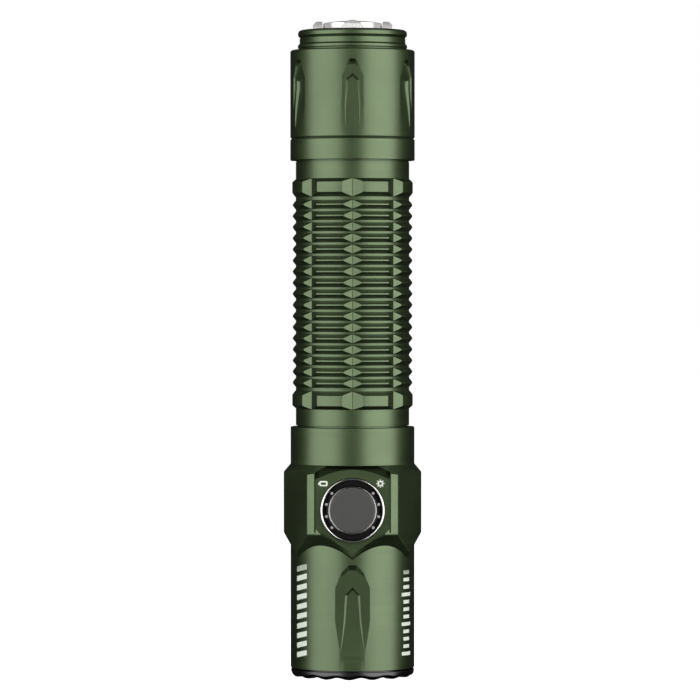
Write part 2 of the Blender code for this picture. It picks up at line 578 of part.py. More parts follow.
def side_switch():
    """The switch stack, built along +Z and then turned to face -Y."""
    inner = RING_R - RING_WALL
    seat = SWITCH_LEDGE + FACE_GAP
    edge = RING_EDGE
    ring = [(inner, seat), (RING_R, seat), (RING_R, RING_TOP - edge), (RING_R - edge, RING_TOP),
            (inner + edge, RING_TOP), (inner, RING_TOP - edge)]
    turned("switch_ring", ring, CHROME, SIDES, FACING_SWITCH)
    window_in = SWITCH_CAP_R + FIT_GAP
    window = washer("indicator_window", window_in, inner - FIT_GAP, seat, WINDOW_TOP - seat,
                    BLACK_PLASTIC, SIDES, FACING_SWITCH)
    number = 0
    for angle in [sign * base for base in DOT_ANGLES for sign in (1, -1)]:
        for flip in (0, 180):
            number += 1
            turn = math.radians(flip + angle)
            spot = (DOT_CIRCLE_R * math.cos(turn), DOT_CIRCLE_R * math.sin(turn), 0)
            at = FACING_SWITCH @ Matrix.Translation(spot)
            cut(window, disc("dot_bore_%d" % number, DOT_R + DOT_GAP, seat - OVERRUN,
                             WINDOW_TOP - seat + 2 * OVERRUN, None, DOT_SIDES, at))
            outline = [(0, seat), (DOT_R, seat), (DOT_R, WINDOW_TOP), (0, WINDOW_TOP + DOT_R / 4)]
            turned("indicator_dot_%d" % number, outline, DIFFUSER, DOT_SIDES, at)
    flange_top = seat - FACE_GAP
    flange_foot = flange_top - SWITCH_FLANGE_T
    flange_r = SWITCH_CAP_R + SWITCH_FLANGE_W
    cap = [(0, flange_foot), (flange_r, flange_foot), (flange_r, flange_top), (SWITCH_CAP_R, flange_top),
           (SWITCH_CAP_R, SWITCH_CAP_TOP - SWITCH_CAP_DOME), (SWITCH_CAP_R - SWITCH_CAP_EDGE, SWITCH_CAP_TOP),
           (0, SWITCH_CAP_TOP)]
    turned("switch_cap", cap, DARK_CAP, SIDES, FACING_SWITCH)
    seal_top = flange_foot - SWITCH_TRAVEL - SEAL_GAP
    seal_foot = seal_top - SEAL_T
    disc("switch_seal", SWITCH_LEDGE_R - FIT_GAP, seal_foot, SEAL_T, RUBBER, SMALL_SIDES, FACING_SWITCH)
    plunger_top = seal_foot - FACE_GAP
    body_top = plunger_top - TACT_PLUNGER_T
    body = block("tact_switch", (TACT_W, TACT_W, TACT_T), (0, 0, body_top - TACT_T / 2), NICKEL, FACING_SWITCH)
    join(body, disc("tact_plunger", TACT_PLUNGER_R, body_top - TACT_T / 2, TACT_T / 2 + TACT_PLUNGER_T,
                    None, 16, FACING_SWITCH))
    board_top = body_top - TACT_T - FACE_GAP
    block("switch_board", (SWITCH_BOARD_W, SWITCH_BOARD_H, BOARD_T), (0, 0, board_top - BOARD_T / 2),
          BOARD, FACING_SWITCH)


def driver():
    disc("driver_board", DRIVER_POCKET_R - FIT_GAP, DRIVER_FOOT, DRIVER_T, BOARD, SMALL_SIDES)
    ring_r = DRIVER_POCKET_R - FIT_GAP
    washer("driver_retaining_ring", ring_r - DRIVER_RING_W, ring_r, DRIVER_RING_FOOT,
           DRIVER_RING_T, BRASS, SMALL_SIDES)
    contact_top = CELL_CAP_FOOT - FACE_GAP
    disc("driver_contact", CONTACT_R, DRIVER_RING_FOOT, contact_top - DRIVER_RING_FOOT, BRASS, SMALL_SIDES)


def cell():
    edge = CELL_EDGE
    body = [(0, CELL_FOOT), (CELL_R - edge, CELL_FOOT), (CELL_R, CELL_FOOT + edge),
            (CELL_R, CELL_TOP - edge), (CELL_R - edge, CELL_TOP), (0, CELL_TOP)]
    turned("cell_body", body, WRAP, SMALL_SIDES)
    disc("cell_positive_cap", CELL_CAP_R, CELL_CAP_FOOT, CELL_CAP_T, NICKEL, SMALL_SIDES)
    inner = CELL_CAP_R + FACE_GAP
    washer("cell_insulator", inner, inner + INSULATOR_W, CELL_FOOT - FACE_GAP - INSULATOR_T, INSULATOR_T,
           WHITE_PLASTIC, SMALL_SIDES)


def tube_outline():
    """The battery tube's section, up the outside and down the bore."""
    bore = BORE_R
    spigot_top = TUBE_TOP + UPPER_SPIGOT_H
    low_seal = TUBE_SPIGOT_FOOT + ORING_LAND
    high_seal = TUBE_TOP + ORING_LAND
    points = [(LOWER_LIP_R, TUBE_SPIGOT_FOOT), (LOWER_SPIGOT_R, TUBE_SPIGOT_FOOT)]
    points += oring_groove(LOWER_SPIGOT_R, low_seal)
    points += [(LOWER_SPIGOT_R, TUBE_FOOT), (TUBE_BAND_R, TUBE_FOOT), (TUBE_BAND_R, GRIP_FOOT)]
    ring_foot = GRIP_FOOT + RING_SLOPE
    points += [(TUBE_RING_R, ring_foot), (TUBE_RING_R, ring_foot + RING_FLAT), (RIDGE_VALLEY_R, RIDGE_FOOT)]
    for index in range(RIDGES):
        foot = RIDGE_FOOT + index * RIDGE_PITCH
        points += [(RIDGE_CREST_R, foot + RIDGE_PITCH / 2), (RIDGE_VALLEY_R, foot + RIDGE_PITCH)]
    ring_foot = RIDGE_TOP + RING_FALL
    points += [(TUBE_RING_R, ring_foot), (TUBE_RING_R, ring_foot + RING_FLAT), (TUBE_BAND_R, GRIP_TOP)]
    points += [(TUBE_BAND_R, TUBE_TOP), (UPPER_SPIGOT_R, TUBE_TOP)]
    points += oring_groove(UPPER_SPIGOT_R, high_seal)
    points += [(UPPER_SPIGOT_R, spigot_top), (bore, spigot_top)]
    lip_top = TUBE_SPIGOT_FOOT + LOWER_LIP_H
    points += [(bore, lip_top), (LOWER_LIP_R, lip_top)]
    return points


def oring_groove(radius, foot):
    floor = radius - ORING_DEPTH
    return [(radius, foot), (floor, foot), (floor, foot + ORING_W), (radius, foot + ORING_W)]


def oring(name, radius, foot, bore):
    """An O-ring in its groove: it stands proud of the spigot and clears the bore round it."""
    inner = radius - ORING_DEPTH + SEAL_GAP
    washer(name, inner, bore - SEAL_GAP, foot + SEAL_GAP, ORING_W - 2 * SEAL_GAP, RUBBER)


def battery_tube():
    bm = spun(tube_outline(), SIDES)
    for vert in bm.verts:
        radius = math.hypot(vert.co.x, vert.co.y)
        if radius < FLUTE_R or not GRIP_FOOT < vert.co.z < GRIP_TOP:
            continue
        angle = math.atan2(vert.co.y, vert.co.x)
        pitch = math.tau / FLUTES
        away = abs(angle - round(angle / pitch) * pitch)
        flute_r = FLUTE_R / (math.cos(away) - FLUTE_SLOPE * math.sin(away))
        if flute_r < radius:
            vert.co.x *= flute_r / radius
            vert.co.y *= flute_r / radius
    place("battery_tube", bm, OLIVE)
    oring("head_oring", LOWER_SPIGOT_R, TUBE_SPIGOT_FOOT + ORING_LAND, LOWER_SPIGOT_R + THREAD_GAP)
    oring("tail_oring", UPPER_SPIGOT_R, TUBE_TOP + ORING_LAND, UPPER_SPIGOT_R + THREAD_GAP)


def tail_cap():
    bore = UPPER_SPIGOT_R + THREAD_GAP
    v_z = CAP_FOOT + CAP_V_HEIGHT
    thread_top = CAP_FOOT + CAP_THREAD_H
    lip_foot = TAIL_TOP - BUTTON_LIP_T
    outline = [
        (bore, CAP_FOOT), (CAP_R - CAP_CHAMFER / 2, CAP_FOOT), (CAP_R, CAP_FOOT + CAP_CHAMFER / 2),
        (CAP_R, v_z - CAP_V_HALF), (CAP_R - CAP_V_DEPTH, v_z), (CAP_R, v_z + CAP_V_HALF),
        (CAP_R, CAP_TOP - CAP_CHAMFER), (CAP_R - CAP_CHAMFER, CAP_TOP), (TAIL_LIP_R, CAP_TOP),
        (TAIL_LIP_R, TAIL_LIP_TOP), (TAIL_GROOVE_R, TAIL_LIP_TOP + TAIL_SLOPE),
        (TAIL_GROOVE_R, TAIL_RIM_FOOT - TAIL_SLOPE), (TAIL_LIP_R, TAIL_RIM_FOOT),
        (TAIL_LIP_R, TAIL_TOP - 0.7 * MM), (TAIL_LIP_R - 0.7 * MM, TAIL_TOP), (BUTTON_LIP_R, TAIL_TOP),
        (BUTTON_LIP_R, lip_foot), (BUTTON_BORE_R, lip_foot), (BUTTON_BORE_R, CAP_CAVITY_END),
        (CAP_CAVITY_R, CAP_CAVITY_END), (CAP_CAVITY_R, thread_top), (bore, thread_top),
    ]
    cap = turned("tail_cap", outline, OLIVE)
    for index in range(TAIL_POCKETS):
        cut(cap, pocket_cutter("tail_pocket_%d" % index, TAIL_POCKET, CAP_R, CAP_FOOT, index, TAIL_POCKETS))
    ring_r = CAP_CAVITY_R - FIT_GAP
    washer("tail_retaining_ring", ring_r - TAIL_RING_W, ring_r, TAIL_RING_FOOT, TAIL_RING_T, BRASS,
           SMALL_SIDES)
    disc("tail_board", TAIL_BOARD_R, TAIL_BOARD_FOOT, TAIL_BOARD_T, BOARD, SMALL_SIDES)
    tact_z = TAIL_TACT_FOOT + TAIL_TACT_T / 2
    body = block("tail_tact_switch", (TAIL_TACT_W, TAIL_TACT_W, TAIL_TACT_T), (0, 0, tact_z), NICKEL)
    join(body, disc("tail_plunger", TAIL_PLUNGER_R, tact_z, TAIL_TACT_T / 2 + TAIL_PLUNGER_T, None, 16))


def tail_spring():
    """A conical spring, wide at the tail board and narrow on the cell."""
    height = TAIL_BOARD_FOOT - SPRING_FOOT - FACE_GAP
    steps = int(SPRING_TURNS * 14)
    curve = bpy.data.curves.new("tail_spring", "CURVE")
    curve.dimensions = "3D"
    curve.bevel_depth = SPRING_WIRE_R
    curve.bevel_resolution = 1
    curve.use_fill_caps = True
    spline = curve.splines.new("POLY")
    spline.points.add(steps)
    for index, point in enumerate(spline.points):
        share = index / steps
        radius = SPRING_TIP_R + (SPRING_TOP_R - SPRING_TIP_R) * share
        angle = share * SPRING_TURNS * math.tau
        climb = SPRING_WIRE_R + (height - 2 * SPRING_WIRE_R) * share
        point.co = (radius * math.cos(angle), radius * math.sin(angle), SPRING_FOOT + climb, 1)
    curve.materials.append(material(BRASS))
    obj = bpy.data.objects.new("tail_spring", curve)
    bpy.context.scene.collection.objects.link(obj)


def button_bump(index):
    """One raised lobe on the button: a round back across the radius with a sloping outer end."""
    depth = BUMP_OUT - BUMP_IN
    centre_z = BUTTON_PLATE_Z + BUMP_TOP - BUMP_R
    bm = bmesh.new()
    bmesh.ops.create_cone(bm, cap_ends=True, segments=28, radius1=BUMP_R, radius2=BUMP_R, depth=depth)
    lie = Matrix.Translation((BUMP_IN + depth / 2, 0, centre_z)) @ Matrix.Rotation(math.pi / 2, 4, "Y")
    bmesh.ops.transform(bm, matrix=lie, verts=bm.verts)
    slope = Vector((1, 0, 1)).normalized()
    planes = [((0, 0, BUTTON_PLATE_Z - BUMP_SINK), Vector((0, 0, -1))),
              ((BUMP_OUT, 0, BUTTON_PLATE_Z + BUMP_TOP - BUMP_CHAMFER), slope)]
    for point, normal in planes:
        sliced = bmesh.ops.bisect_plane(
            bm, geom=bm.verts[:] + bm.edges[:] + bm.faces[:], dist=1e-8,
            plane_co=point, plane_no=normal, clear_outer=True,
        )
        edges = [item for item in sliced["geom_cut"] if isinstance(item, bmesh.types.BMEdge)]
        bmesh.ops.holes_fill(bm, edges=edges, sides=0)
    return place("button_bump_%d" % index, bm, None, around(index, BUMPS))


def tail_button():
    hole = CHARGE_PIN_R + CHARGE_INSULATOR_W + 2 * FIT_GAP
    flange_r = BUTTON_R + BUTTON_FLANGE_W
    rise = DOME_TOP - BUTTON_PLATE_Z
    dome_r = (BUTTON_R**2 + rise**2) / (2 * rise)
    dome = []
    for share in (0.9, 0.7, 0.5):
        radius = BUTTON_R * share
        dome.append((radius, DOME_TOP - dome_r + math.sqrt(dome_r**2 - radius**2)))
    top = DOME_TOP - dome_r + math.sqrt(dome_r**2 - hole**2)
    outline = [
        (hole, BUTTON_FLANGE_FOOT), (flange_r, BUTTON_FLANGE_FOOT), (flange_r, BUTTON_FLANGE_TOP),
        (BUTTON_R, BUTTON_FLANGE_TOP), (BUTTON_R, BUTTON_PLATE_Z), *dome, (hole, top),
    ]
    button = turned("tail_button", outline, STEEL)
    for index in range(BUMPS):
        join(button, button_bump(index))
    pin_foot = BUTTON_FLANGE_FOOT
    disc("charge_contact", CHARGE_PIN_R, pin_foot, DOME_TOP - pin_foot, BRASS, SMALL_SIDES)
    inner = CHARGE_PIN_R + FIT_GAP
    washer("charge_insulator", inner, inner + CHARGE_INSULATOR_W, pin_foot, top - pin_foot,
           BLACK_PLASTIC, SMALL_SIDES)
    disc("charge_magnet", BUTTON_STEM_R, MAGNET_FOOT, MAGNET_T, NICKEL, SMALL_SIDES)
    seal_top = BUTTON_FLANGE_FOOT - BUTTON_TRAVEL - SEAL_GAP
    washer("button_seal", BUTTON_STEM_R + FACE_GAP, BUTTON_BORE_R - FIT_GAP, seal_top - BUTTON_SEAL_T,
           BUTTON_SEAL_T, RUBBER, SMALL_SIDES)


def main():
    clear_scene()
    strike_bezel()
    optics()
    head_housing()
    side_switch()
    driver()
    cell()
    battery_tube()
    tail_cap()
    tail_spring()
    tail_button()


main()
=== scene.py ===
"""Looks of a tactical flashlight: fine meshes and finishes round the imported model, in a plain studio."""

import json
import math

import bmesh
import bpy
from bpy.props import FloatProperty, FloatVectorProperty, IntProperty, PointerProperty
from mathutils import Matrix, Vector


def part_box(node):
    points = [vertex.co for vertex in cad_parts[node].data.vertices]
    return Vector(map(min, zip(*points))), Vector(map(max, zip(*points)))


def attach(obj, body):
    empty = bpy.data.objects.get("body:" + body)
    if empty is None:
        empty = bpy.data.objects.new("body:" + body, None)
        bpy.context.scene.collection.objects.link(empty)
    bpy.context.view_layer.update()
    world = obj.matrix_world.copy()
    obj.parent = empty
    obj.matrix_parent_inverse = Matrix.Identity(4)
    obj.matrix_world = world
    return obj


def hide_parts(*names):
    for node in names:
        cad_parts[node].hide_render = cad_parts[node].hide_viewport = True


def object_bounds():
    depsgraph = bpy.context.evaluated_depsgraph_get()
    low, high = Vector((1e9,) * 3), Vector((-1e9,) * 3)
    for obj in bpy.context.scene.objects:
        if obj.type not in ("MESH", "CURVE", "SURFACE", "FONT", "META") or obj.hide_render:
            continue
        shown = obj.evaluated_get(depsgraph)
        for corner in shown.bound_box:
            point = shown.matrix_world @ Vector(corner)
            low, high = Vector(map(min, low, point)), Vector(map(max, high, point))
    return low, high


bl_info = {
    "name": "Tactical Flashlight",
    "version": (1, 0, 0),
    "blender": (4, 5, 0),
    "location": "View3D > Sidebar > Flashlight",
    "description": "Builds the flashlight's fine pieces, finishes and studio",
    "category": "Object",
}

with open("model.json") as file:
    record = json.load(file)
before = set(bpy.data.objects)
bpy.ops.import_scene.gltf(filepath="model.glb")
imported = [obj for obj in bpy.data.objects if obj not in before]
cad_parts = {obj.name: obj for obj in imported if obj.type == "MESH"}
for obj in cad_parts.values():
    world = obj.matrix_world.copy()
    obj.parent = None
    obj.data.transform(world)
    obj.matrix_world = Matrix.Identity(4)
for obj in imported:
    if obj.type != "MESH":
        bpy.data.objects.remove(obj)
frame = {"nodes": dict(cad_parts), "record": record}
CAD_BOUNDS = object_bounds()
MM = 0.001
TINY = 1e-7
FRONT = -math.pi / 2
ROUND = 192  # sides of a large turned piece
SMALL_ROUND = 128  # sides of a smaller one
TINY_ROUND = 64
SMOOTH_ANGLE = 12  # degrees: a sharper edge is shaded as an edge
FACE_GAP = 0.3 * MM  # left open between the tube's bands and the head and cap

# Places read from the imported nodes
BEZEL_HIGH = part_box("strike_bezel")[1]
HEAD_LOW, HEAD_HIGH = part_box("head_housing")
TUBE_LOW, TUBE_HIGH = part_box("battery_tube")
CAP_LOW, CAP_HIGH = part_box("tail_cap")
BUTTON_LOW, BUTTON_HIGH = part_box("tail_button")
PIN_LOW, PIN_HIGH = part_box("charge_contact")
SLEEVE_LOW, SLEEVE_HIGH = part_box("charge_insulator")
RING_LOW, RING_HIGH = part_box("switch_ring")
WINDOW_LOW, WINDOW_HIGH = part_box("indicator_window")
SWITCH_LOW, SWITCH_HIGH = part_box("switch_cap")
GLASS_LOW, GLASS_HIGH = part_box("front_glass")
BOWL_LOW, BOWL_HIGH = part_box("reflector")
EMITTER_LOW, EMITTER_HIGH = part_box("led_emitter")
ORING_LOW, ORING_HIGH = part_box("tail_oring")
SWITCH_Z = (RING_LOW.z + RING_HIGH.z) / 2
FACING_SWITCH = Matrix.Translation((0, 0, SWITCH_Z)) @ Matrix.Rotation(math.pi / 2, 4, "X")


# ---------------------------------------------------------------- settings


def size(name, description, default, **extra):
    return FloatProperty(name=name, description=description, default=default, unit="LENGTH",
                         precision=5, **extra)


def colour(name, description, hex_code):
    return FloatVectorProperty(name=name, description=description, default=linear(hex_code),
                               subtype="COLOR", size=3, min=0, max=1)


def linear(hex_code):
    """An sRGB hex colour as linear red, green and blue."""
    parts = [int(hex_code[i:i + 2], 16) / 255 for i in (1, 3, 5)]
    return tuple(c / 12.92 if c <= 0.04045 else ((c + 0.055) / 1.055) ** 2.4 for c in parts)


class FinishSettings(bpy.types.PropertyGroup):
    olive: colour("Olive", "Dyed hard-anodised aluminium of the head, tube and cap", "#4B5E39")
    olive_deep: colour("Deep olive", "The dye where the film is thicker", "#465834")
    gunmetal: colour("Gunmetal", "Anodised strike bezel", "#4C4D4C")
    steel: colour("Steel", "Turned stainless tail button", "#DADAD7")
    chrome: colour("Chrome", "Edge ring round the side switch", "#E4E4E0")
    gold: colour("Gold", "Plated contacts", "#D9B36A")
    window: colour("Window", "Black indicator window", "#0A0A0A")
    switch_cap: colour("Switch cap", "Dark pressed cap of the side switch", "#474745")
    dot: colour("Dot", "Unlit indicator dots", "#9A9A98")
    ink: colour("Ink", "Printed marks", "#E8EEE2")
    rubber: colour("Rubber", "Nitrile seals", "#18181A")
    board: colour("Board", "Circuit boards", "#1E4A34")
    phosphor: colour("Phosphor", "LED phosphor", "#E6CF62")


class HeadSettings(bpy.types.PropertyGroup):
    barrel_r: size("Barrel radius", "Radius of the barrel and collar", 13.05 * MM)
    land_r: size("Land radius", "From the axis to the lug's lands", HEAD_HIGH.x)
    face_r: size("Face radius", "From the axis to the lug's faces", HEAD_HIGH.y)
    collar: size("Collar", "Length of the collar over the lug", 7.8 * MM)
    lug: size("Lug", "Straight length of the lug", 12.7 * MM)
    run_in: size("Run-in", "Slope over the lug", 1.7 * MM)
    run_out: size("Run-out", "Slope under the lug", 2.35 * MM)
    recess_floor: size("Recess floor", "From the axis to the switch's seat", 12.2 * MM)
    recess_half: size("Recess half width", "Half the width of the switch's seat", 7.7 * MM)
    edge: size("Edge", "Broken edge of the lug", 0.22 * MM)


class GripSettings(bpy.types.PropertyGroup):
    ridges: IntProperty(name="Ridges", description="Grip ridges", default=17, min=1)
    pitch: size("Ridge pitch", "Axial step of the ridges", 2.335 * MM)
    crest_r: size("Crest radius", "Radius over the ridges", 12.70 * MM)
    valley_r: size("Valley radius", "Radius between the ridges", 11.95 * MM)
    ring_r: size("Ring radius", "Radius of the grip's end rings", 12.86 * MM)
    band_r: size("Band radius", "Radius of the plain bands", 11.94 * MM)
    flutes: IntProperty(name="Flutes", description="Lengthwise flutes", default=8, min=1)
    flute_r: size("Flute radius", "From the axis to a flute's floor", 12.00 * MM)


class TailSettings(bpy.types.PropertyGroup):
    cap_r: size("Cap radius", "Radius of the tail cap", 13.10 * MM)
    pockets: IntProperty(name="Pockets", description="Pockets round the cap", default=6, min=1)
    lobes: IntProperty(name="Lobes", description="Raised lobes on the button", default=4, min=1)


class StudioSettings(bpy.types.PropertyGroup):
    distance: size("Camera distance", "From the tube's axis to the camera", 0.9486)
    height: size("Camera height", "Height of the camera above the floor", 0.0824)
    aim: size("Aim height", "Height of the point that the camera faces", 0.0687)
    offset: size("Camera offset", "Sideways offset of the camera", -0.00053)
    lens: FloatProperty(name="Lens", description="Focal length in millimetres", default=231.4)
    key: FloatProperty(name="Softbox power", description="Power of each softbox in watts", default=4.5)
    right_gain: FloatProperty(name="Right gain", default=1.2,
                              description="Right softbox's power over the left's")
    lift: size("Softbox lift", "Height of the softboxes over the light's middle", 0.08)
    button: FloatProperty(name="Button card power", default=3.0,
                          description="Power of the card that lights the tail button alone, in watts")
    front: FloatProperty(name="Front card power", default=0.16,
                         description="Power of the weak front card, in watts")
    paper: colour("Paper", "Floor and backdrop paper", "#F7F7F5")


# ---------------------------------------------------------------- meshes


def filleted(corners, steps=8):
    """An outline of (radius, height, fillet) corners, each fillet as an arc that touches both sides."""
    points = []
    count = len(corners)
    for i, (radius, height, fillet) in enumerate(corners):
        here = Vector((radius, height))
        if not fillet:
            points.append(here)
            continue
        back = (Vector(corners[i - 1][:2]) - here).normalized()
        ahead = (Vector(corners[(i + 1) % count][:2]) - here).normalized()
        half = back.angle(ahead) / 2
        reach = fillet / math.tan(half)
        middle = (back + ahead).normalized()
        centre = here + middle * (fillet / math.sin(half))
        start = here + back * reach - centre
        end = here + ahead * reach - centre
        sweep = math.pi - 2 * half
        for step in range(steps + 1):
            share = step / steps
            points.append(centre + (start * math.sin((1 - share) * sweep) + end * math.sin(share * sweep))
                          / math.sin(sweep))
    return [(point.x, point.y) for point in points]


def spun(outline, sides=ROUND):
    """A closed outline of (radius, height) points spun round +Z. A run along the axis makes no face."""
    bm = bmesh.new()
    verts = [bm.verts.new((max(radius, 0.0), 0.0, height)) for radius, height in outline]
    pairs = [(verts[i - 1], verts[i]) for i in range(len(verts))]
    edges = [bm.edges.new(pair) for pair in pairs if pair[0].co.x or pair[1].co.x]
    bmesh.ops.spin(
        bm, geom=verts + edges, cent=(0, 0, 0), axis=(0, 0, 1),
        angle=math.tau, steps=sides, use_merge=True, use_duplicate=False,
    )
    bmesh.ops.remove_doubles(bm, verts=bm.verts, dist=TINY)
    return bm


def shade(mesh):
    mesh.shade_smooth()
    mesh.set_sharp_from_angle(angle=math.radians(SMOOTH_ANGLE))


def finished(name, bm, turn=None):
    """An object at the origin from a bmesh, closed, facing outwards and shaded smooth."""
    bmesh.ops.remove_doubles(bm, verts=bm.verts, dist=TINY)
    bmesh.ops.dissolve_degenerate(bm, edges=bm.edges, dist=TINY)
    bmesh.ops.recalc_face_normals(bm, faces=bm.faces)
    if turn is not None:
        bmesh.ops.transform(bm, matrix=turn, verts=bm.verts)
    mesh = bpy.data.meshes.new(name)
    bm.to_mesh(mesh)
    bm.free()
    shade(mesh)
    obj = bpy.data.objects.new(name, mesh)
    bpy.context.scene.collection.objects.link(obj)
    return obj


def turned(name, corners, sides=ROUND, turn=None):
    """A turned piece from (radius, height, fillet) corners."""
    return finished(name, spun(filleted(corners), sides), turn)


def around(index, count):
    """Turns a piece made facing +X so that it faces one of count directions, the first the front."""
    return Matrix.Rotation(FRONT + math.tau * index / count, 4, "Z")


def trim(bm, planes):
    """Cuts off what lies outside each plane, given as a point and an outward normal, and caps the cut."""
    for point, normal in planes:
        sliced = bmesh.ops.bisect_plane(
            bm, geom=bm.verts[:] + bm.edges[:] + bm.faces[:], dist=1e-8,
            plane_co=point, plane_no=normal, clear_outer=True,
        )
        edges = [item for item in sliced["geom_cut"] if isinstance(item, bmesh.types.BMEdge)]
        bmesh.ops.holes_fill(bm, edges=edges, sides=0)
    return bm


def box_mesh(extent, centre):
    bm = bmesh.new()
    bmesh.ops.create_cube(bm, size=1.0)
    bmesh.ops.scale(bm, vec=extent, verts=bm.verts)
    bmesh.ops.translate(bm, vec=centre, verts=bm.verts)
    return bm


def break_edges(bm, width, segments=2, sharper_than=10):
    edges = [e for e in bm.edges if len(e.link_faces) == 2
             and e.calc_face_angle(0) > math.radians(sharper_than)]
    bmesh.ops.bevel(bm, geom=edges, offset=width, offset_type="OFFSET", segments=segments,
                    affect="EDGES", profile=0.5, material=-1, clamp_overlap=True)
    return bm


def through(a, b, c, inside):
    """The plane through three points, facing away from the point inside."""
    normal = (Vector(b) - Vector(a)).cross(Vector(c) - Vector(a)).normalized()
    if normal.dot(Vector(inside) - Vector(a)) > 0:
        normal.negate()
    return a, normal


def combined(obj, steps):
    """Joins or cuts obj with each (operation, tool) in turn, and removes the tools."""
    for operation, tool in steps:
        modifier = obj.modifiers.new(tool.name, "BOOLEAN")
        modifier.operation = operation
        modifier.solver = "EXACT"
        modifier.object = tool
        tool.hide_render = True
    bpy.context.view_layer.update()
    graph = bpy.context.evaluated_depsgraph_get()
    mesh = bpy.data.meshes.new_from_object(obj.evaluated_get(graph))
    mesh.name = obj.name
    obj.modifiers.clear()
    obj.data = mesh
    for _operation, tool in steps:
        bpy.data.objects.remove(tool)
    shade(mesh)
    return obj


def keep(obj, body, slot, finish, *nodes):
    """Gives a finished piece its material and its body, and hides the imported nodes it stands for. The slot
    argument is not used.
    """
    obj.data.materials.clear()
    obj.data.materials.append(finish)
    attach(obj, body)
    if nodes:
        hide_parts(*nodes)
    return obj


# ---------------------------------------------------------------- finishes


def add_node(tree, kind, settings=None, inputs=None, links=None):
    """A node with its settings, its input values and its links from other nodes' outputs."""
    node = tree.nodes.new(kind)
    for key, value in (settings or {}).items():
        setattr(node, key, value)
    for key, value in (inputs or {}).items():
        node.inputs[key].default_value = value
    for key, output in (links or {}).items():
        tree.links.new(output, node.inputs[key])
    return node


def new_finish(name, inputs):
    """A material with one Principled shader, its node tree and that shader."""
    made = bpy.data.materials.new(name)
    made.use_nodes = True
    tree = made.node_tree
    shader = tree.nodes["Principled BSDF"]
    for key, value in inputs.items():
        shader.inputs[key].default_value = value
    return made, tree, shader


def grain(tree, scale_mm, stretch=(1, 1, 1), detail=2.0):
    """Noise on Object coordinates whose features are scale_mm across, stretched along an axis."""
    coords = add_node(tree, "ShaderNodeTexCoord")
    placed = add_node(tree, "ShaderNodeMapping", inputs={"Scale": stretch},
                      links={"Vector": coords.outputs["Object"]})
    return add_node(tree, "ShaderNodeTexNoise", inputs={"Scale": 1 / (scale_mm * MM), "Detail": detail},
                    links={"Vector": placed.outputs["Vector"]})


def spread(tree, source, low, high):
    """A value between low and high, following a texture."""
    return add_node(tree, "ShaderNodeMapRange", inputs={"From Min": 0.3, "From Max": 0.7,
                    "To Min": low, "To Max": high}, links={"Value": source.outputs[0]})


def blended(tree, source, first, second):
    return add_node(tree, "ShaderNodeMix", {"data_type": "RGBA"},
                    inputs={6: (*first, 1), 7: (*second, 1)}, links={0: source.outputs[0]})


def raised(tree, shader, source, strength, depth_mm):
    bump = add_node(tree, "ShaderNodeBump", inputs={"Strength": strength, "Distance": depth_mm * MM},
                    links={"Height": source.outputs[0]})
    tree.links.new(bump.outputs["Normal"], shader.inputs["Normal"])


def plated(name, tone, grain_mm, low, high, metallic=1.0, stretch=(1, 1, 1)):
    """A bare or plated metal whose fine grain breaks up its gloss."""
    made, tree, shader = new_finish(name, {"Metallic": metallic, "Base Color": (*tone, 1)})
    texture = grain(tree, grain_mm, stretch)
    tree.links.new(spread(tree, texture, low, high).outputs[0], shader.inputs["Roughness"])
    return made


def olive_anodised():
    """Hard-anodised, olive-dyed 6061 aluminium, turned and lightly blasted: deep green metal under a clear,
    sealed oxide film, with fine turning lines round the axis and a faintly uneven dye."""
    tones = bpy.context.scene.flashlight_finish
    made, tree, shader = new_finish("olive_hard_anodised_aluminium", {
        "Metallic": 1.0, "Coat Weight": 1.0, "Coat Roughness": 0.34, "Coat IOR": 1.5})
    cloud = grain(tree, 9.0, detail=3)
    tint = blended(tree, spread(tree, cloud, 0.0, 1.0), tones.olive, tones.olive_deep)
    tree.links.new(tint.outputs[2], shader.inputs["Base Color"])
    lines = grain(tree, 0.35, stretch=(0.01, 0.01, 1), detail=3)
    rough = spread(tree, lines, 0.42, 0.50)
    tree.links.new(rough.outputs[0], shader.inputs["Roughness"])
    raised(tree, shader, lines, 0.25, 0.01)
    return made


def gunmetal_anodised():
    """Black-grey anodised bezel: smooth turned metal with a soft sheen."""
    tone = bpy.context.scene.flashlight_finish.gunmetal
    return plated("gunmetal_anodised", tone, 0.25, 0.22, 0.32, stretch=(0.02, 0.02, 1))


def turned_steel():
    """Stainless steel: bright, with a fine grain in its gloss. It is part matt, so that it stays light
    where nothing bright is there to mirror."""
    tone = bpy.context.scene.flashlight_finish.steel
    return plated("turned_stainless_steel", tone, 0.15, 0.22, 0.34, metallic=0.55)


def bright_chrome():
    """Polished chrome plate: near mirror, with faint haze."""
    return plated("bright_chrome_plate", bpy.context.scene.flashlight_finish.chrome, 1.5, 0.12, 0.18)


def satin_chrome():
    """Satin chrome on the pressed cap's edge: grey, softly bright where it turns to the light."""
    return plated("satin_chrome_plate", linear("#A8A8A4"), 0.6, 0.16, 0.24)


def gold_plate():
    """Gold flash on brass contacts: warm metal, slightly worn."""
    return plated("gold_plated_brass", bpy.context.scene.flashlight_finish.gold, 0.4, 0.2, 0.34)


def bare_aluminium():
    """Clear-anodised aluminium of the threads: pale, and brighter than the dyed skin."""
    return plated("clear_anodised_aluminium", linear("#A9ABA8"), 0.3, 0.3, 0.42)


def moulded(name, tone, low, high, grit_mm, depth_mm=0.004):
    """A moulded plastic or rubber whose fine skin texture breaks up its gloss."""
    made, tree, shader = new_finish(name, {"Base Color": (*tone, 1)})
    skin = grain(tree, grit_mm)
    tree.links.new(spread(tree, skin, low, high).outputs[0], shader.inputs["Roughness"])
    raised(tree, shader, skin, 0.3, depth_mm)
    return made


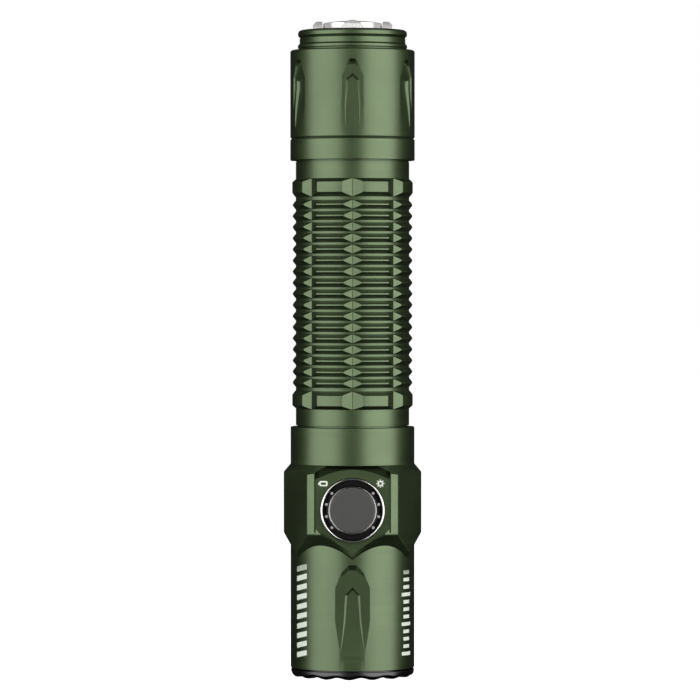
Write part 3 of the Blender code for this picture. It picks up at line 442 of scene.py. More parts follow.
def coated_glass():
    """Toughened glass with a blue-green anti-reflective coat."""
    made, tree, shader = new_finish("coated_glass", {
        "Base Color": (0.93, 0.97, 1.0, 1), "Roughness": 0.02, "Transmission Weight": 1.0, "IOR": 1.5,
        "Coat Weight": 0.3})
    tint = blended(tree, grain(tree, 12.0), (0.90, 0.96, 1.0), (0.96, 0.95, 1.0))
    tree.links.new(tint.outputs[2], shader.inputs["Base Color"])
    return made


def mirror_coat():
    """Vacuum-deposited aluminium on the reflector: a mirror with a trace of orange peel."""
    made, tree, shader = new_finish("vacuum_deposited_aluminium", {
        "Metallic": 1.0, "Roughness": 0.06, "Base Color": (0.9, 0.9, 0.91, 1)})
    raised(tree, shader, grain(tree, 0.8), 0.15, 0.02)
    return made


def printed_ink():
    """White pad-printed ink: matt, thin, with a faint tooth."""
    return moulded("white_pad_print", bpy.context.scene.flashlight_finish.ink, 0.5, 0.7, 0.1, 0.002)


# ---------------------------------------------------------------- pieces


POCKET_BLOCK = (8 * MM, 14 * MM, 34 * MM)  # larger than any pocket, and trimmed down to it


def pocket_tool(name, barrel_r, spec, index, count, lift=0.0):
    """A pocket cutter from a spec in mm: its outline from the nose down, as (half width, height, slope of
    the wall above that point in degrees), its floor from the top down, as (depth, height), and the depth at
    which the outline is drawn, or 0 on the barrel itself."""
    outline, floor, start = spec
    planes = []

    def wall(first, last, slope, side):
        edge = last - first
        outward = Vector((0, edge.z, -edge.y)).normalized()
        if outward.y * side < 0 or (abs(outward.y) < TINY and outward.z < 0):
            outward.negate()
        tilt = math.radians(slope)
        planes.append((first, outward * math.sin(tilt) - Vector((math.cos(tilt), 0, 0))))

    for side in (1, -1):
        points = []
        for half, height, _slope in outline:
            out = math.sqrt(barrel_r**2 - (half * MM) ** 2) if not start else barrel_r - start * MM
            points.append(Vector((out, side * half * MM, height * MM + lift)))
        for first, last, (_half, _height, slope) in zip(points, points[1:], outline[1:]):
            wall(first, last, slope, side)
    _top_half, top_height, top_slope = outline[0]
    tilt = math.radians(top_slope)
    crown = Vector((barrel_r - start * MM, 0, top_height * MM + lift))
    planes.append((crown, Vector((-math.cos(tilt), 0, math.sin(tilt)))))
    for (deep, high), (shallow, low) in zip(floor, floor[1:]):
        run = Vector((barrel_r - shallow * MM, 0, low * MM)) - Vector((barrel_r - deep * MM, 0, high * MM))
        normal = Vector((run.z, 0, -run.x)).normalized()
        planes.append((Vector((barrel_r - deep * MM, 0, high * MM + lift)), normal))
    middle = (outline[0][1] + outline[-1][1]) / 2 * MM + lift
    return finished(name, trim(box_mesh(POCKET_BLOCK, (barrel_r, 0, middle)), planes), around(index, count))


HEAD_POCKETS = 2
HEAD_POCKET = (
    ("outer", (((0.8, 24.1, 25), (2.1, 23.1, 26), (3.1, 21.3, 34), (3.7, 19.3, 55), (3.7, 12.5, 80),
                (2.4, 3.8, 70)), ((0.52, 24.0), (0.52, 12.5), (0.20, 4.2), (0.0, 3.5)), 0)),
    ("inner", (((0.06, 19.4, 40), (1.55, 17.8, 45), (2.35, 3.6, 40)),
               ((0.88, 19.0), (0.80, 12.0), (0.05, 2.7)), 0.5)),
)
TAIL_POCKET = (
    ("nose", (((0.55, 20.9, 48), (0.95, 20.5, 60), (1.1, 20.0, 70)),
              ((1.0, 20.2), (1.0, 19.95), (0.3, 19.5), (0.0, 19.0)), 0)),
    ("outer", (((0.5, 20.6, 47), (1.0, 20.1, 47), (2.4, 17.6, 47), (2.4, 11.2, 47), (1.6, 6.6, 47)),
               ((0.44, 19.6), (0.44, 15.0), (0.0, 6.4)), 0)),
    ("inner", (((0.04, 17.9, 50), (1.45, 16.6, 45), (1.45, 11.0, 45), (1.1, 6.8, 45)),
               ((0.92, 17.7), (0.90, 15.0), (0.0, 5.9)), 0.42)),
)


LUG_FACES = 12  # six lands with a lower face between each two
SEAT_SIDE_DROP = 13.2 * MM  # from the collar down to where the seat's sides turn in
SEAT_POINT_DROP = 18.5 * MM  # from the collar down to the seat's point
SEAT_FLARE = 0.5 / 0.85  # how far the seat's walls lean out for each unit of depth
SEAT_TOP_GAP = 0.1 * MM  # under the collar's edge
RELIEF_SLOPE = 0.93
RELIEF_DROP = 0.85 * MM  # from the collar down to the relief's edge on the seat
OVERRUN = 0.5 * MM  # how far a tool runs past the face it meets
SPARE = 3 * MM  # how far a tool reaches past the lands


def lug_mesh(head):
    """The twelve-sided lug: six lands and six lower faces. A slope under each land runs out on the barrel."""
    lug_foot = HEAD_HIGH.z - head.collar - head.run_in - head.lug
    rise = head.land_r - head.barrel_r
    planes = []
    for index in range(LUG_FACES):
        angle = math.tau * index / LUG_FACES
        out = Vector((math.cos(angle), math.sin(angle), 0))
        if index % 2:
            planes.append((out * head.face_r, out))
            continue
        planes.append((out * head.land_r, out))
        slope = (out * head.run_out - Vector((0, 0, rise))).normalized()
        planes.append((out * head.land_r + Vector((0, 0, lug_foot)), slope))
    low = lug_foot - 4 * head.run_out
    high = HEAD_HIGH.z - head.collar + OVERRUN
    width = 3 * head.land_r
    bm = trim(box_mesh((width, width, high - low), (0, 0, (high + low) / 2)), planes)
    return break_edges(bm, head.edge, segments=4)


def lug_tool(head):
    """The lug with its top turned to a cone that runs in to the collar."""
    collar_foot = HEAD_HIGH.z - head.collar
    wide = head.land_r + SPARE
    cone_top = collar_foot + 0.6 * MM
    drop = (wide - head.barrel_r) * head.run_in / (head.land_r - head.barrel_r)
    cone = [(0, HEAD_LOW.z, 0), (wide, HEAD_LOW.z, 0), (wide, collar_foot - drop, 0),
            (head.barrel_r - OVERRUN, cone_top, 0), (0, cone_top, 0)]
    return combined(finished("lug", lug_mesh(head)), [("INTERSECT", turned("lug_cone", cone))])


def recess_tool(head):
    """The flat seat of the side switch, with steep sides and a pointed foot."""
    floor = -head.recess_floor
    depth = 2 * MM
    outer = floor - depth
    flare_out = SEAT_FLARE * depth
    collar_foot = HEAD_HIGH.z - head.collar
    side_z = collar_foot - SEAT_SIDE_DROP
    point_z = collar_foot - SEAT_POINT_DROP
    inside = (0, floor - MM, SWITCH_Z)
    planes = [((0, floor, 0), (0, 1, 0)), ((0, 0, collar_foot - SEAT_TOP_GAP), (0, 0, 1))]
    for side in (1, -1):
        low = (side * head.recess_half, floor, side_z)
        high = (side * head.recess_half, floor, collar_foot)
        flare = (side * (head.recess_half + flare_out), outer, side_z)
        planes.append(through(low, high, flare, inside))
        planes.append(through(low, (0, floor, point_z), (0, outer, point_z - flare_out), inside))
    block = Vector((40, 8, 38)) * MM
    middle = (0, floor + OVERRUN - block.y / 2, SWITCH_Z)
    return finished("recess_tool", trim(box_mesh(block, middle), planes))


def relief_tool(head):
    """The coned relief over the seat, which dips behind the collar's edge."""
    collar_foot = HEAD_HIGH.z - head.collar
    top, low = collar_foot - SEAT_TOP_GAP, collar_foot - 5 * MM
    far = head.land_r + SPARE
    at_seat = collar_foot - RELIEF_DROP
    extent = (2 * head.recess_half + 0.3 * MM, 10 * MM, top - low)
    block = box_mesh(extent, (0, -head.recess_floor - 3 * MM, (top + low) / 2))
    cone_foot = low - 9 * MM
    cone = [(0, cone_foot, 0), (far, cone_foot, 0),
            (far, at_seat - (far - head.recess_floor) * RELIEF_SLOPE, 0),
            (0, at_seat + head.recess_floor * RELIEF_SLOPE, 0)]
    return combined(finished("relief_tool", block), [("DIFFERENCE", turned("relief_cone", cone))])


def groove_tool(head, side):
    """The square groove between the seat and a land."""
    collar_foot = HEAD_HIGH.z - head.collar
    low, high = collar_foot - 14 * MM, collar_foot - 1.2 * MM
    width, depth = 0.36 * MM, 1.7 * MM
    centre = (side * (head.recess_half + 0.14 * MM), -head.recess_floor - OVERRUN, (low + high) / 2)
    return finished("seat_groove", box_mesh((width, depth, high - low), centre))


def plug(name, radius, low, high, sides):
    """A plain round cutter on the switch's axis, between two distances from the tube's axis."""
    corners = [(0, low, 0), (radius, low, 0), (radius, high, 0), (0, high, 0)]
    return turned(name, corners, sides, FACING_SWITCH)


class FLASHLIGHT_OT_head(bpy.types.Operator):
    """Build the head housing with its lug, switch seat and pockets"""

    bl_idname = "flashlight.head"
    bl_label = "Head Housing"

    def execute(self, context):
        head = context.scene.flashlight_head
        foot, top = HEAD_LOW.z, HEAD_HIGH.z
        body = turned("head_barrel", [
            (0, foot, 0), (head.barrel_r, foot, 0.12 * MM), (head.barrel_r, top, 0.2 * MM), (0, top, 0)])
        mouth = 12.2 * MM
        bore = 11.2 * MM
        shelf = 23.4 * MM
        bay = 10.6 * MM
        ledge = 44.6 * MM
        socket = 11.9 * MM
        past = 2 * MM
        mouth_end = foot + 6 * MM
        shelf_top = shelf + 2.5 * MM
        front = turned("front_bore", [(0, foot - past, 0), (mouth, foot - past, 0), (mouth, mouth_end, 0),
                       (bore, mouth_end, 0), (bore, shelf, 0), (0, shelf, 0)])
        rear = turned("rear_bore", [(0, shelf_top, 0), (bay, shelf_top, 0), (bay, ledge, 0),
                      (socket, ledge, 0), (socket, top + past, 0), (0, top + past, 0)])
        ring_r = (RING_HIGH.x - RING_LOW.x) / 2 + 0.12 * MM
        seat = plug("switch_bore", ring_r, 11.55 * MM, 18 * MM, SMALL_ROUND)
        plunger = plug("plunger_bore", 5.9 * MM, 5 * MM, 13 * MM, TINY_ROUND)
        cutters = [recess_tool(head), relief_tool(head), groove_tool(head, 1), groove_tool(head, -1)]
        for index in range(HEAD_POCKETS):
            for label, spec in HEAD_POCKET:
                name = "head_pocket_%s_%d" % (label, index)
                cutters.append(pocket_tool(name, head.barrel_r, spec, index, HEAD_POCKETS))
        cutters += [front, rear, seat, plunger]
        combined(body, [("UNION", lug_tool(head))] + [("DIFFERENCE", tool) for tool in cutters])
        body.name = "head_shell"
        keep(body, "root", "olive_anodised", olive_anodised(), "head_housing")
        return {"FINISHED"}


class FLASHLIGHT_OT_bezel(bpy.types.Operator):
    """Build the scalloped strike bezel"""

    bl_idname = "flashlight.bezel"
    bl_label = "Strike Bezel"

    def execute(self, context):
        lobes = 15
        sides = lobes * 24
        rim = 1.6 * MM
        mouth, spigot, spigot_in = 10.4 * MM, 11.9 * MM, 11.3 * MM
        outer = BEZEL_HIGH.x
        corners = [
            (mouth, rim, 0), (mouth, 0, 0.25 * MM), (outer, 0, 1.0 * MM),
            (outer, rim, 0.08 * MM), (spigot, rim, 0), (spigot, BEZEL_HIGH.z, 0.1 * MM),
            (spigot_in, BEZEL_HIGH.z, 0.1 * MM), (spigot_in, rim, 0)]
        bm = spun(filleted(corners, 7), sides)
        turn = math.radians(-93.5)
        scallop = 0.45 * MM
        fade_top = rim - 0.1 * MM
        for vert in bm.verts:
            if vert.co.z < fade_top:
                angle = math.atan2(vert.co.y, vert.co.x) - turn
                fade = (1 - vert.co.z / fade_top) ** 0.8
                vert.co.z += scallop / 2 * (1 - math.cos(lobes * angle)) * fade
        bezel = finished("strike_bezel_ring", bm)
        keep(bezel, "root", "gunmetal_anodised", gunmetal_anodised(), "strike_bezel")
        return {"FINISHED"}


class FLASHLIGHT_OT_optics(bpy.types.Operator):
    """Build the front glass, the reflector and the LED"""

    bl_idname = "flashlight.optics"
    bl_label = "Optics"

    def execute(self, context):
        tones = context.scene.flashlight_finish
        radius = GLASS_HIGH.x
        glass = turned("front_window", [(0, GLASS_LOW.z, 0), (radius, GLASS_LOW.z, 0.15 * MM),
                       (radius, GLASS_HIGH.z, 0.15 * MM), (0, GLASS_HIGH.z, 0)])
        keep(glass, "root", "coated_glass", coated_glass(), "front_glass")
        focus = 1.64 * MM
        mouth_r = 10.5 * MM
        wall = 0.8 * MM
        rings = 40
        apex = BOWL_LOW.z + mouth_r**2 / (4 * focus)
        heights = [BOWL_LOW.z + (BOWL_HIGH.z - BOWL_LOW.z) * i / rings for i in range(rings + 1)]
        bowl = [(math.sqrt(4 * focus * (apex - z)), z) for z in heights]
        back = [(r + wall, z) for r, z in reversed(bowl) if z > BOWL_LOW.z + MM]
        rim = [(BOWL_HIGH.x, back[-1][1]), (BOWL_HIGH.x, BOWL_LOW.z)]
        mirror = finished("reflector_bowl", spun(bowl + back + rim, SMALL_ROUND))
        keep(mirror, "root", "vacuum_aluminium", mirror_coat(), "reflector")
        half = EMITTER_HIGH.x
        base_t = 0.35 * MM
        base = box_mesh((2 * half, 2 * half, base_t), (0, 0, EMITTER_HIGH.z - base_t / 2))
        carrier = finished("led_carrier", break_edges(base, 0.06 * MM))
        keep(carrier, "root", "white_nylon", moulded("white_ceramic", (0.8, 0.8, 0.78), 0.3, 0.45, 0.1))
        dome_top = EMITTER_HIGH.z - base_t - 0.01 * MM
        dome = turned("led_phosphor", [(0, EMITTER_LOW.z, 0), (1.9 * MM, EMITTER_LOW.z, 0.3 * MM),
                      (2.2 * MM, dome_top, 0), (0, dome_top, 0)], TINY_ROUND)
        phosphor = moulded("yellow_phosphor", tones.phosphor, 0.3, 0.5, 0.08)
        keep(dome, "root", "yellow_phosphor", phosphor, "led_emitter")
        return {"FINISHED"}


def facing_front(name, corners):
    """A piece of the switch, turned about the switch's own axis."""
    return turned(name, corners, SMALL_ROUND, FACING_SWITCH)


class FLASHLIGHT_OT_switch(bpy.types.Operator):
    """Build the side switch: edge ring, indicator window, dots and pressed cap"""

    bl_idname = "flashlight.switch"
    bl_label = "Side Switch"

    def execute(self, context):
        tones = context.scene.flashlight_finish
        ring_r = (RING_HIGH.x - RING_LOW.x) / 2
        ring_in = ring_r - 0.38 * MM
        seat, ring_top = -RING_HIGH.y, -RING_LOW.y
        edge = 0.18 * MM
        ring = facing_front("switch_edge_ring", [
            (ring_in, seat, 0), (ring_r, seat, 0), (ring_r, ring_top, edge), (ring_in, ring_top, edge)])
        keep(ring, "root", "bright_chrome", bright_chrome(), "switch_ring")
        window_r = (WINDOW_HIGH.x - WINDOW_LOW.x) / 2 + 0.1 * MM
        cap_r = 4.98 * MM
        window_in = cap_r + 0.12 * MM
        window_top = 13.40 * MM
        window = facing_front("indicator_lens", [
            (window_in, seat, 0), (window_r, seat, 0), (window_r, window_top - 0.1 * MM, 0.1 * MM),
            (window_in, window_top, 0.15 * MM)])
        keep(window, "root", "black_acetal", moulded("black_acetal", tones.window, 0.08, 0.16, 0.3, 0.001),
             "indicator_window")
        diffuser = moulded("frosted_acrylic", tones.dot, 0.4, 0.55, 0.08, 0.002)
        for number in range(1, 9):
            low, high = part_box("indicator_dot_%d" % number)
            x, z = (low.x + high.x) / 2, (low.z + high.z) / 2
            at = Matrix.Translation((x, 0, z)) @ Matrix.Rotation(math.pi / 2, 4, "X")
            dot_r = (high.x - low.x) / 2
            dot = turned("light_dot_%d" % number, [(0, seat, 0), (dot_r, seat, 0),
                         (dot_r, -low.y - 0.02 * MM, 0.05 * MM), (0, -low.y, 0)], 32, at)
            keep(dot, "root", "diffuser_acrylic", diffuser, "indicator_dot_%d" % number)
        top, foot = -SWITCH_LOW.y, -SWITCH_HIGH.y
        halo_in, halo_out = cap_r - 0.22 * MM, cap_r + 0.04 * MM
        halo_foot, halo_top = window_top - 0.3 * MM, top - 0.02 * MM
        halo_edge = 0.12 * MM
        halo = facing_front("cap_edge_ring", [
            (halo_in, halo_foot, 0), (halo_out, halo_foot, 0),
            (halo_out, halo_top, halo_edge), (halo_in, halo_top, halo_edge)])
        keep(halo, "side_switch", "bright_chrome", satin_chrome())
        flange_r = (SWITCH_HIGH.x - SWITCH_LOW.x) / 2
        flange_top = foot + 0.4 * MM
        step_z = foot + 0.9 * MM
        disc_r = cap_r - 0.24 * MM
        cap = facing_front("pressed_cap", [
            (0, foot, 0), (flange_r, foot, 0), (flange_r, flange_top, 0), (cap_r, flange_top, 0),
            (cap_r, step_z, 0), (disc_r, step_z, 0), (disc_r, top - 0.12 * MM, 0.1 * MM),
            (cap_r - 0.5 * MM, top - 0.06 * MM, 0.1 * MM), (0, top, 0)])
        keep(cap, "side_switch", "smoked_polycarbonate",
             moulded("dark_anodised_cap", tones.switch_cap, 0.38, 0.48, 0.12, 0.003), "switch_cap")
        return {"FINISHED"}


SPIGOT_R = 11.85 * MM  # of the spigot in the tail cap
FLUTE_SLOPE = math.tan(math.radians(17))  # of each half of a flute's floor
THREAD_PITCH = 1.5 * MM


def grip_corners(grip):
    """The tube's section: lower spigot, band, end ring, ridges, end ring, band and upper spigot."""
    foot = TUBE_LOW.z
    lip_top = foot + 3 * MM
    lip_r, bore, spigot_r = 9.8 * MM, 11.0 * MM, 11.6 * MM
    band_foot = HEAD_HIGH.z + FACE_GAP
    band_top = CAP_LOW.z - FACE_GAP
    ring_space = 4.3 * MM  # taken by each end ring and its slopes
    grip_foot = band_foot + 3.5 * MM
    ridge_foot = grip_foot + ring_space
    ridge_top = ridge_foot + grip.ridges * grip.pitch
    grip_top = ridge_top + ring_space
    soft, fine, crisp = 0.12 * MM, 0.05 * MM, 0.04 * MM  # fillets
    corners = [(lip_r, foot, 0), (spigot_r, foot, 0.1 * MM), (spigot_r, band_foot, 0),
               (grip.band_r, band_foot, fine), (grip.band_r, grip_foot, soft),
               (grip.ring_r, grip_foot + 0.75 * MM, soft), (grip.ring_r, grip_foot + 2.9 * MM, soft),
               (grip.valley_r, grip_foot + 3.85 * MM, fine)]
    crest_half = 0.14 * MM
    valley_half = 0.22 * MM
    for index in range(grip.ridges):
        low = ridge_foot + index * grip.pitch
        middle = low + grip.pitch / 2
        corners += [(grip.valley_r, low + valley_half, crisp), (grip.crest_r, middle - crest_half, crisp),
                    (grip.crest_r, middle + crest_half, crisp),
                    (grip.valley_r, low + grip.pitch - valley_half, crisp)]
    corners += [(grip.valley_r, ridge_top + 0.45 * MM, fine),
                (grip.ring_r, ridge_top + 1.4 * MM, soft), (grip.ring_r, ridge_top + 3.55 * MM, soft),
                (grip.band_r, grip_top, soft), (grip.band_r, band_top, fine), (SPIGOT_R, band_top, 0)]
    groove = ORING_LOW.z - 0.1 * MM
    groove_top = groove + 1.2 * MM
    groove_r = SPIGOT_R - 0.5 * MM
    corners += [(SPIGOT_R, groove, fine), (groove_r, groove, 0), (groove_r, groove_top, 0),
                (SPIGOT_R, groove_top, fine), (SPIGOT_R, TUBE_HIGH.z, 0.25 * MM),
                (bore, TUBE_HIGH.z, 0.1 * MM), (bore, lip_top, 0), (lip_r, lip_top, 0)]
    return corners, grip_foot, grip_top


class FLASHLIGHT_OT_tube(bpy.types.Operator):
    """Build the battery tube: ridged and fluted grip, O-ring and tail thread"""

    bl_idname = "flashlight.tube"
    bl_label = "Battery Tube"

    def execute(self, context):
        grip = context.scene.flashlight_grip
        tones = context.scene.flashlight_finish
        corners, grip_foot, grip_top = grip_corners(grip)
        tube = finished("grip_tube", spun(filleted(corners, 2), SMALL_ROUND))
        reach = 4 * MM
        point = (grip.flute_r, 0, 0)
        inside = (grip.flute_r + MM, 0, 0)
        height = grip_top - grip_foot
        middle = (grip_top + grip_foot) / 2
        steps = []
        for index in range(grip.flutes):
            turn = around(index, grip.flutes)
            planes = [through(point, (grip.flute_r, 0, MM),
                              (grip.flute_r + reach * FLUTE_SLOPE, side * reach, 0), inside)
                      for side in (1, -1)]
            flute = box_mesh((4 * MM, 2 * reach, height), (grip.flute_r + 1.5 * MM, 0, middle))
            crease = box_mesh((1.0 * MM, 0.11 * MM, height), (grip.flute_r + 0.40 * MM, 0, middle))
            steps += [("DIFFERENCE", finished("flute_%d" % index, trim(flute, planes), turn)),
                      ("DIFFERENCE", finished("crease_%d" % index, crease, turn))]
        combined(tube, steps)
        keep(tube, "root", "olive_anodised", olive_anodised(), "battery_tube")
        tail_thread(SPIGOT_R, ORING_HIGH.z + 1.2 * MM, TUBE_HIGH.z - 0.5 * MM)
        tail_seal(moulded("black_nitrile_rubber", tones.rubber, 0.45, 0.6, 0.1))
        return {"FINISHED"}


def tail_seal(rubber):
    """The O-ring in the tail spigot's groove."""
    cord_r = 0.33 * MM
    centre_r = SPIGOT_R - 0.13 * MM
    middle = (ORING_LOW.z + ORING_HIGH.z) / 2
    bm = bmesh.new()
    made = bmesh.ops.create_circle(bm, cap_ends=False, segments=20, radius=cord_r)
    stand = Matrix.Translation((centre_r, 0, middle)) @ Matrix.Rotation(math.pi / 2, 4, "X")
    bmesh.ops.transform(bm, matrix=stand, verts=made["verts"])
    bmesh.ops.spin(bm, geom=bm.verts[:] + bm.edges[:], cent=(0, 0, 0), axis=(0, 0, 1),
                   angle=math.tau, steps=SMALL_ROUND, use_merge=True, use_duplicate=False)
    keep(finished("tail_seal_ring", bm), "root", "black_nbr", rubber, "tail_oring")


def tail_thread(radius, foot, top):
    """The tail's trapezoid thread: one profile swept up a helix round the spigot."""
    turns = (top - foot - THREAD_PITCH) / THREAD_PITCH
    root, crest = radius - 0.08 * MM, radius + 0.16 * MM
    root_half, crest_half = 0.55 * MM, 0.22 * MM
    profile = [(root, -root_half), (crest, -crest_half), (crest, crest_half), (root, root_half)]
    bm = bmesh.new()
    face = bm.faces.new([bm.verts.new((r, 0, foot + THREAD_PITCH / 2 + z)) for r, z in profile])
    steps = int(turns * TINY_ROUND)
    rise = Vector((0, 0, turns * THREAD_PITCH / steps))
    bmesh.ops.spin(bm, geom=[face], cent=(0, 0, 0), axis=(0, 0, 1), dvec=rise,
                   angle=turns * math.tau, steps=steps, use_duplicate=False)
    keep(finished("tail_thread", bm), "root", "olive_anodised", bare_aluminium())


class FLASHLIGHT_OT_tail_cap(bpy.types.Operator):
    """Build the tail cap with its pockets and carry-ring grooves"""

    bl_idname = "flashlight.tail_cap"
    bl_label = "Tail Cap"

    def execute(self, context):
        tail = context.scene.flashlight_tail
        foot, end = CAP_LOW.z, CAP_HIGH.z
        top = end - 4.2 * MM
        socket, cavity, button_bore, lip_bore = 12.15 * MM, 11.0 * MM, 9.75 * MM, 8.95 * MM
        lip_r, groove_r, foot_r = 11.47 * MM, 11.13 * MM, 11.25 * MM
        cavity_top = foot + 20.8 * MM
        thread_top = foot + 10.4 * MM
        v_z = foot + 4.6 * MM
        v_half = 0.3 * MM
        fine = 0.05 * MM
        corners = [
            (socket, foot, 0), (tail.cap_r, foot, 0.15 * MM), (tail.cap_r, v_z - v_half, fine),
            (tail.cap_r - 0.28 * MM, v_z, 0), (tail.cap_r, v_z + v_half, fine),
            (tail.cap_r, top, 0.45 * MM), (foot_r, top, 0), (foot_r, top + 0.3 * MM, fine),
            (lip_r + fine, top + 0.45 * MM, 0.1 * MM), (lip_r + 0.02 * MM, top + 1.0 * MM, 0.2 * MM),
            (groove_r, top + 1.35 * MM, 0.3 * MM), (groove_r, top + 2.45 * MM, 0.1 * MM),
            (cavity, top + 2.55 * MM, 0), (lip_r, top + 3.0 * MM, 0.15 * MM),
            (lip_r, end, 0.7 * MM), (lip_bore, end, 0.15 * MM), (lip_bore, end - MM, 0),
            (button_bore, end - MM, 0), (button_bore, cavity_top, 0), (cavity, cavity_top, 0),
            (cavity, thread_top, 0), (socket, thread_top, 0)]
        cap = turned("tail_cap_shell", corners)
        steps = []
        for index in range(tail.pockets):
            for label, spec in TAIL_POCKET:
                name = "tail_pocket_%s_%d" % (label, index)
                steps.append(("DIFFERENCE", pocket_tool(name, tail.cap_r, spec, index, tail.pockets, foot)))
        combined(cap, steps)
        keep(cap, "tail_cap", "olive_anodised", olive_anodised(), "tail_cap")
        return {"FINISHED"}


def button_lit():
    """The collection of pieces that the button's own card lights."""
    name = "lit_by_button_card"
    return bpy.data.collections.get(name) or bpy.data.collections.new(name)


class FLASHLIGHT_OT_tail_button(bpy.types.Operator):
    """Build the metal tail button with its raised lobes and charge contact"""

    bl_idname = "flashlight.tail_button"
    bl_label = "Tail Button"

    def execute(self, context):
        tail = context.scene.flashlight_tail
        tones = context.scene.flashlight_finish
        steel = turned_steel()
        plate_z = CAP_HIGH.z + 0.25 * MM
        plate_r = 8.6 * MM
        flange_r = BUTTON_HIGH.x
        dome_top = PIN_HIGH.z
        dome_r = 6.1 * MM
        dome_edge = dome_top - 0.5 * MM
        rise = dome_top - dome_edge
        sphere = (dome_r**2 + rise**2) / (2 * rise)
        hole = SLEEVE_HIGH.x + 0.05 * MM
        dome = []
        rings = 8
        for step in range(rings + 1):
            r = dome_r - (dome_r - hole) * step / rings
            dome.append((r, dome_top - sphere + math.sqrt(sphere**2 - r**2), 0))
        dome[0] = (*dome[0][:2], 0.12 * MM)
        flange_top = BUTTON_LOW.z + 1.1 * MM
        outline = filleted([
            (hole, BUTTON_LOW.z, 0), (flange_r, BUTTON_LOW.z, 0), (flange_r, flange_top, 0),
            (plate_r, flange_top, 0), (plate_r, plate_z, 0.15 * MM),
            (dome_r + 0.15 * MM, plate_z + 0.1 * MM, 0)] + dome)
        button = finished("tail_button_plate", spun(outline))
        lobes = [("UNION", button_lobe(index, tail.lobes, plate_z)) for index in range(tail.lobes)]
        combined(button, lobes)
        keep(button, "tail_switch", "brushed_steel", steel, "tail_button")
        pin_r = PIN_HIGH.x
        pin = turned("charge_pin", [(0, PIN_LOW.z, 0), (pin_r, PIN_LOW.z, 0), (pin_r, PIN_HIGH.z, 0.15 * MM),
                     (0, PIN_HIGH.z, 0)], TINY_ROUND)
        keep(pin, "tail_switch", "gold_plated_brass", gold_plate(), "charge_contact")
        sleeve_r = SLEEVE_HIGH.x
        sleeve_in = pin_r + 0.05 * MM
        sleeve_edge = 0.06 * MM
        sleeve = turned("charge_sleeve", [
            (sleeve_in, SLEEVE_LOW.z, 0), (sleeve_r, SLEEVE_LOW.z, 0),
            (sleeve_r, SLEEVE_HIGH.z, sleeve_edge),
            (sleeve_in, SLEEVE_HIGH.z + 0.05 * MM, sleeve_edge)], TINY_ROUND)
        keep(sleeve, "tail_switch", "black_acetal", moulded("black_insulator", tones.window, 0.3, 0.45, 0.1),
             "charge_insulator")
        for lit in (button, pin, sleeve):
            button_lit().objects.link(lit)
        return {"FINISHED"}


def button_lobe(index, count, plate_z):
    """A lobe with a round back across the radius, a sloped outer end and softened edges."""
    inner, outer, radius, height = 6.35 * MM, 8.35 * MM, 2.7 * MM, 1.6 * MM
    depth = outer - inner
    bm = bmesh.new()
    bmesh.ops.create_cone(bm, cap_ends=True, segments=96, radius1=radius, radius2=radius, depth=depth)
    centre = Matrix.Translation((inner + depth / 2, 0, plate_z + height - radius))
    bmesh.ops.transform(bm, matrix=centre @ Matrix.Rotation(math.pi / 2, 4, "Y"), verts=bm.verts)
    sink, chamfer = 0.6 * MM, 0.8 * MM
    planes = [((0, 0, plate_z - sink), Vector((0, 0, -1))),
              ((outer, 0, plate_z + height - chamfer), Vector((1, 0, 1)).normalized())]
    trim(bm, planes)
    break_edges(bm, 0.12 * MM, 2, 20)
    return finished("button_lobe_%d" % index, bm, around(index, count))


INK = 0.03 * MM  # thickness of the printed ink
INK_LIFT = 0.01 * MM  # of the ink's underside over the metal


def flat_mark(name, bm, ink):
    """Thickens a flat mark into a film of ink and keeps it."""
    bmesh.ops.solidify(bm, geom=bm.faces[:], thickness=INK)
    keep(finished(name, bm), "root", "white_nylon", ink)


def seat_mark(bm, x, z, floor):
    """Stands a mark drawn in the XY plane on the switch's seat, at (x, z)."""
    stand = Matrix.Translation((x, floor, z)) @ Matrix.Rotation(math.pi / 2, 4, "X")
    bmesh.ops.transform(bm, matrix=stand, verts=bm.verts)


def ring_face(bm, outer, inner):
    """Bridges two loops of points, drawn in the XY plane, into one flat band."""
    loops = []
    for points in (outer, inner):
        verts = [bm.verts.new((x, y, 0)) for x, y in points]
        loops += [bm.edges.new((verts[i - 1], verts[i])) for i in range(len(verts))]
    bmesh.ops.bridge_loops(bm, edges=loops)


def circle(radius, steps=32):
    return [(radius * math.cos(math.tau * i / steps), radius * math.sin(math.tau * i / steps))
            for i in range(steps)]


def bar(bm, width, height, x):
    """A flat bar in the XY plane, centred on the X axis at x."""
    verts = bmesh.ops.create_grid(bm, x_segments=1, y_segments=1, size=0.5)["verts"]
    bmesh.ops.scale(bm, vec=(width, height, 1), verts=verts)
    bmesh.ops.translate(bm, vec=(x, 0, 0), verts=verts)
    return verts


def rounded_box(half_w, half_h, radius, steps=6):
    points = []
    for quarter, (sx, sy) in enumerate(((1, 1), (-1, 1), (-1, -1), (1, -1))):
        for step in range(steps + 1):
            angle = math.pi / 2 * (quarter + step / steps)
            points.append((sx * (half_w - radius) + radius * math.cos(angle),
                           sy * (half_h - radius) + radius * math.sin(angle)))
    return points


def wrapped_bar(bm, centre_angle, z, width, height, lean, radius):
    """A leaning bar laid on the barrel: width runs round it, height up it."""
    made = bmesh.ops.create_grid(bm, x_segments=6, y_segments=1, size=0.5)
    for vert in made["verts"]:
        across = vert.co.x * width
        up = vert.co.y * height
        angle = centre_angle + across / radius
        vert.co = Vector((radius * math.cos(angle), radius * math.sin(angle), z + up + lean * across))


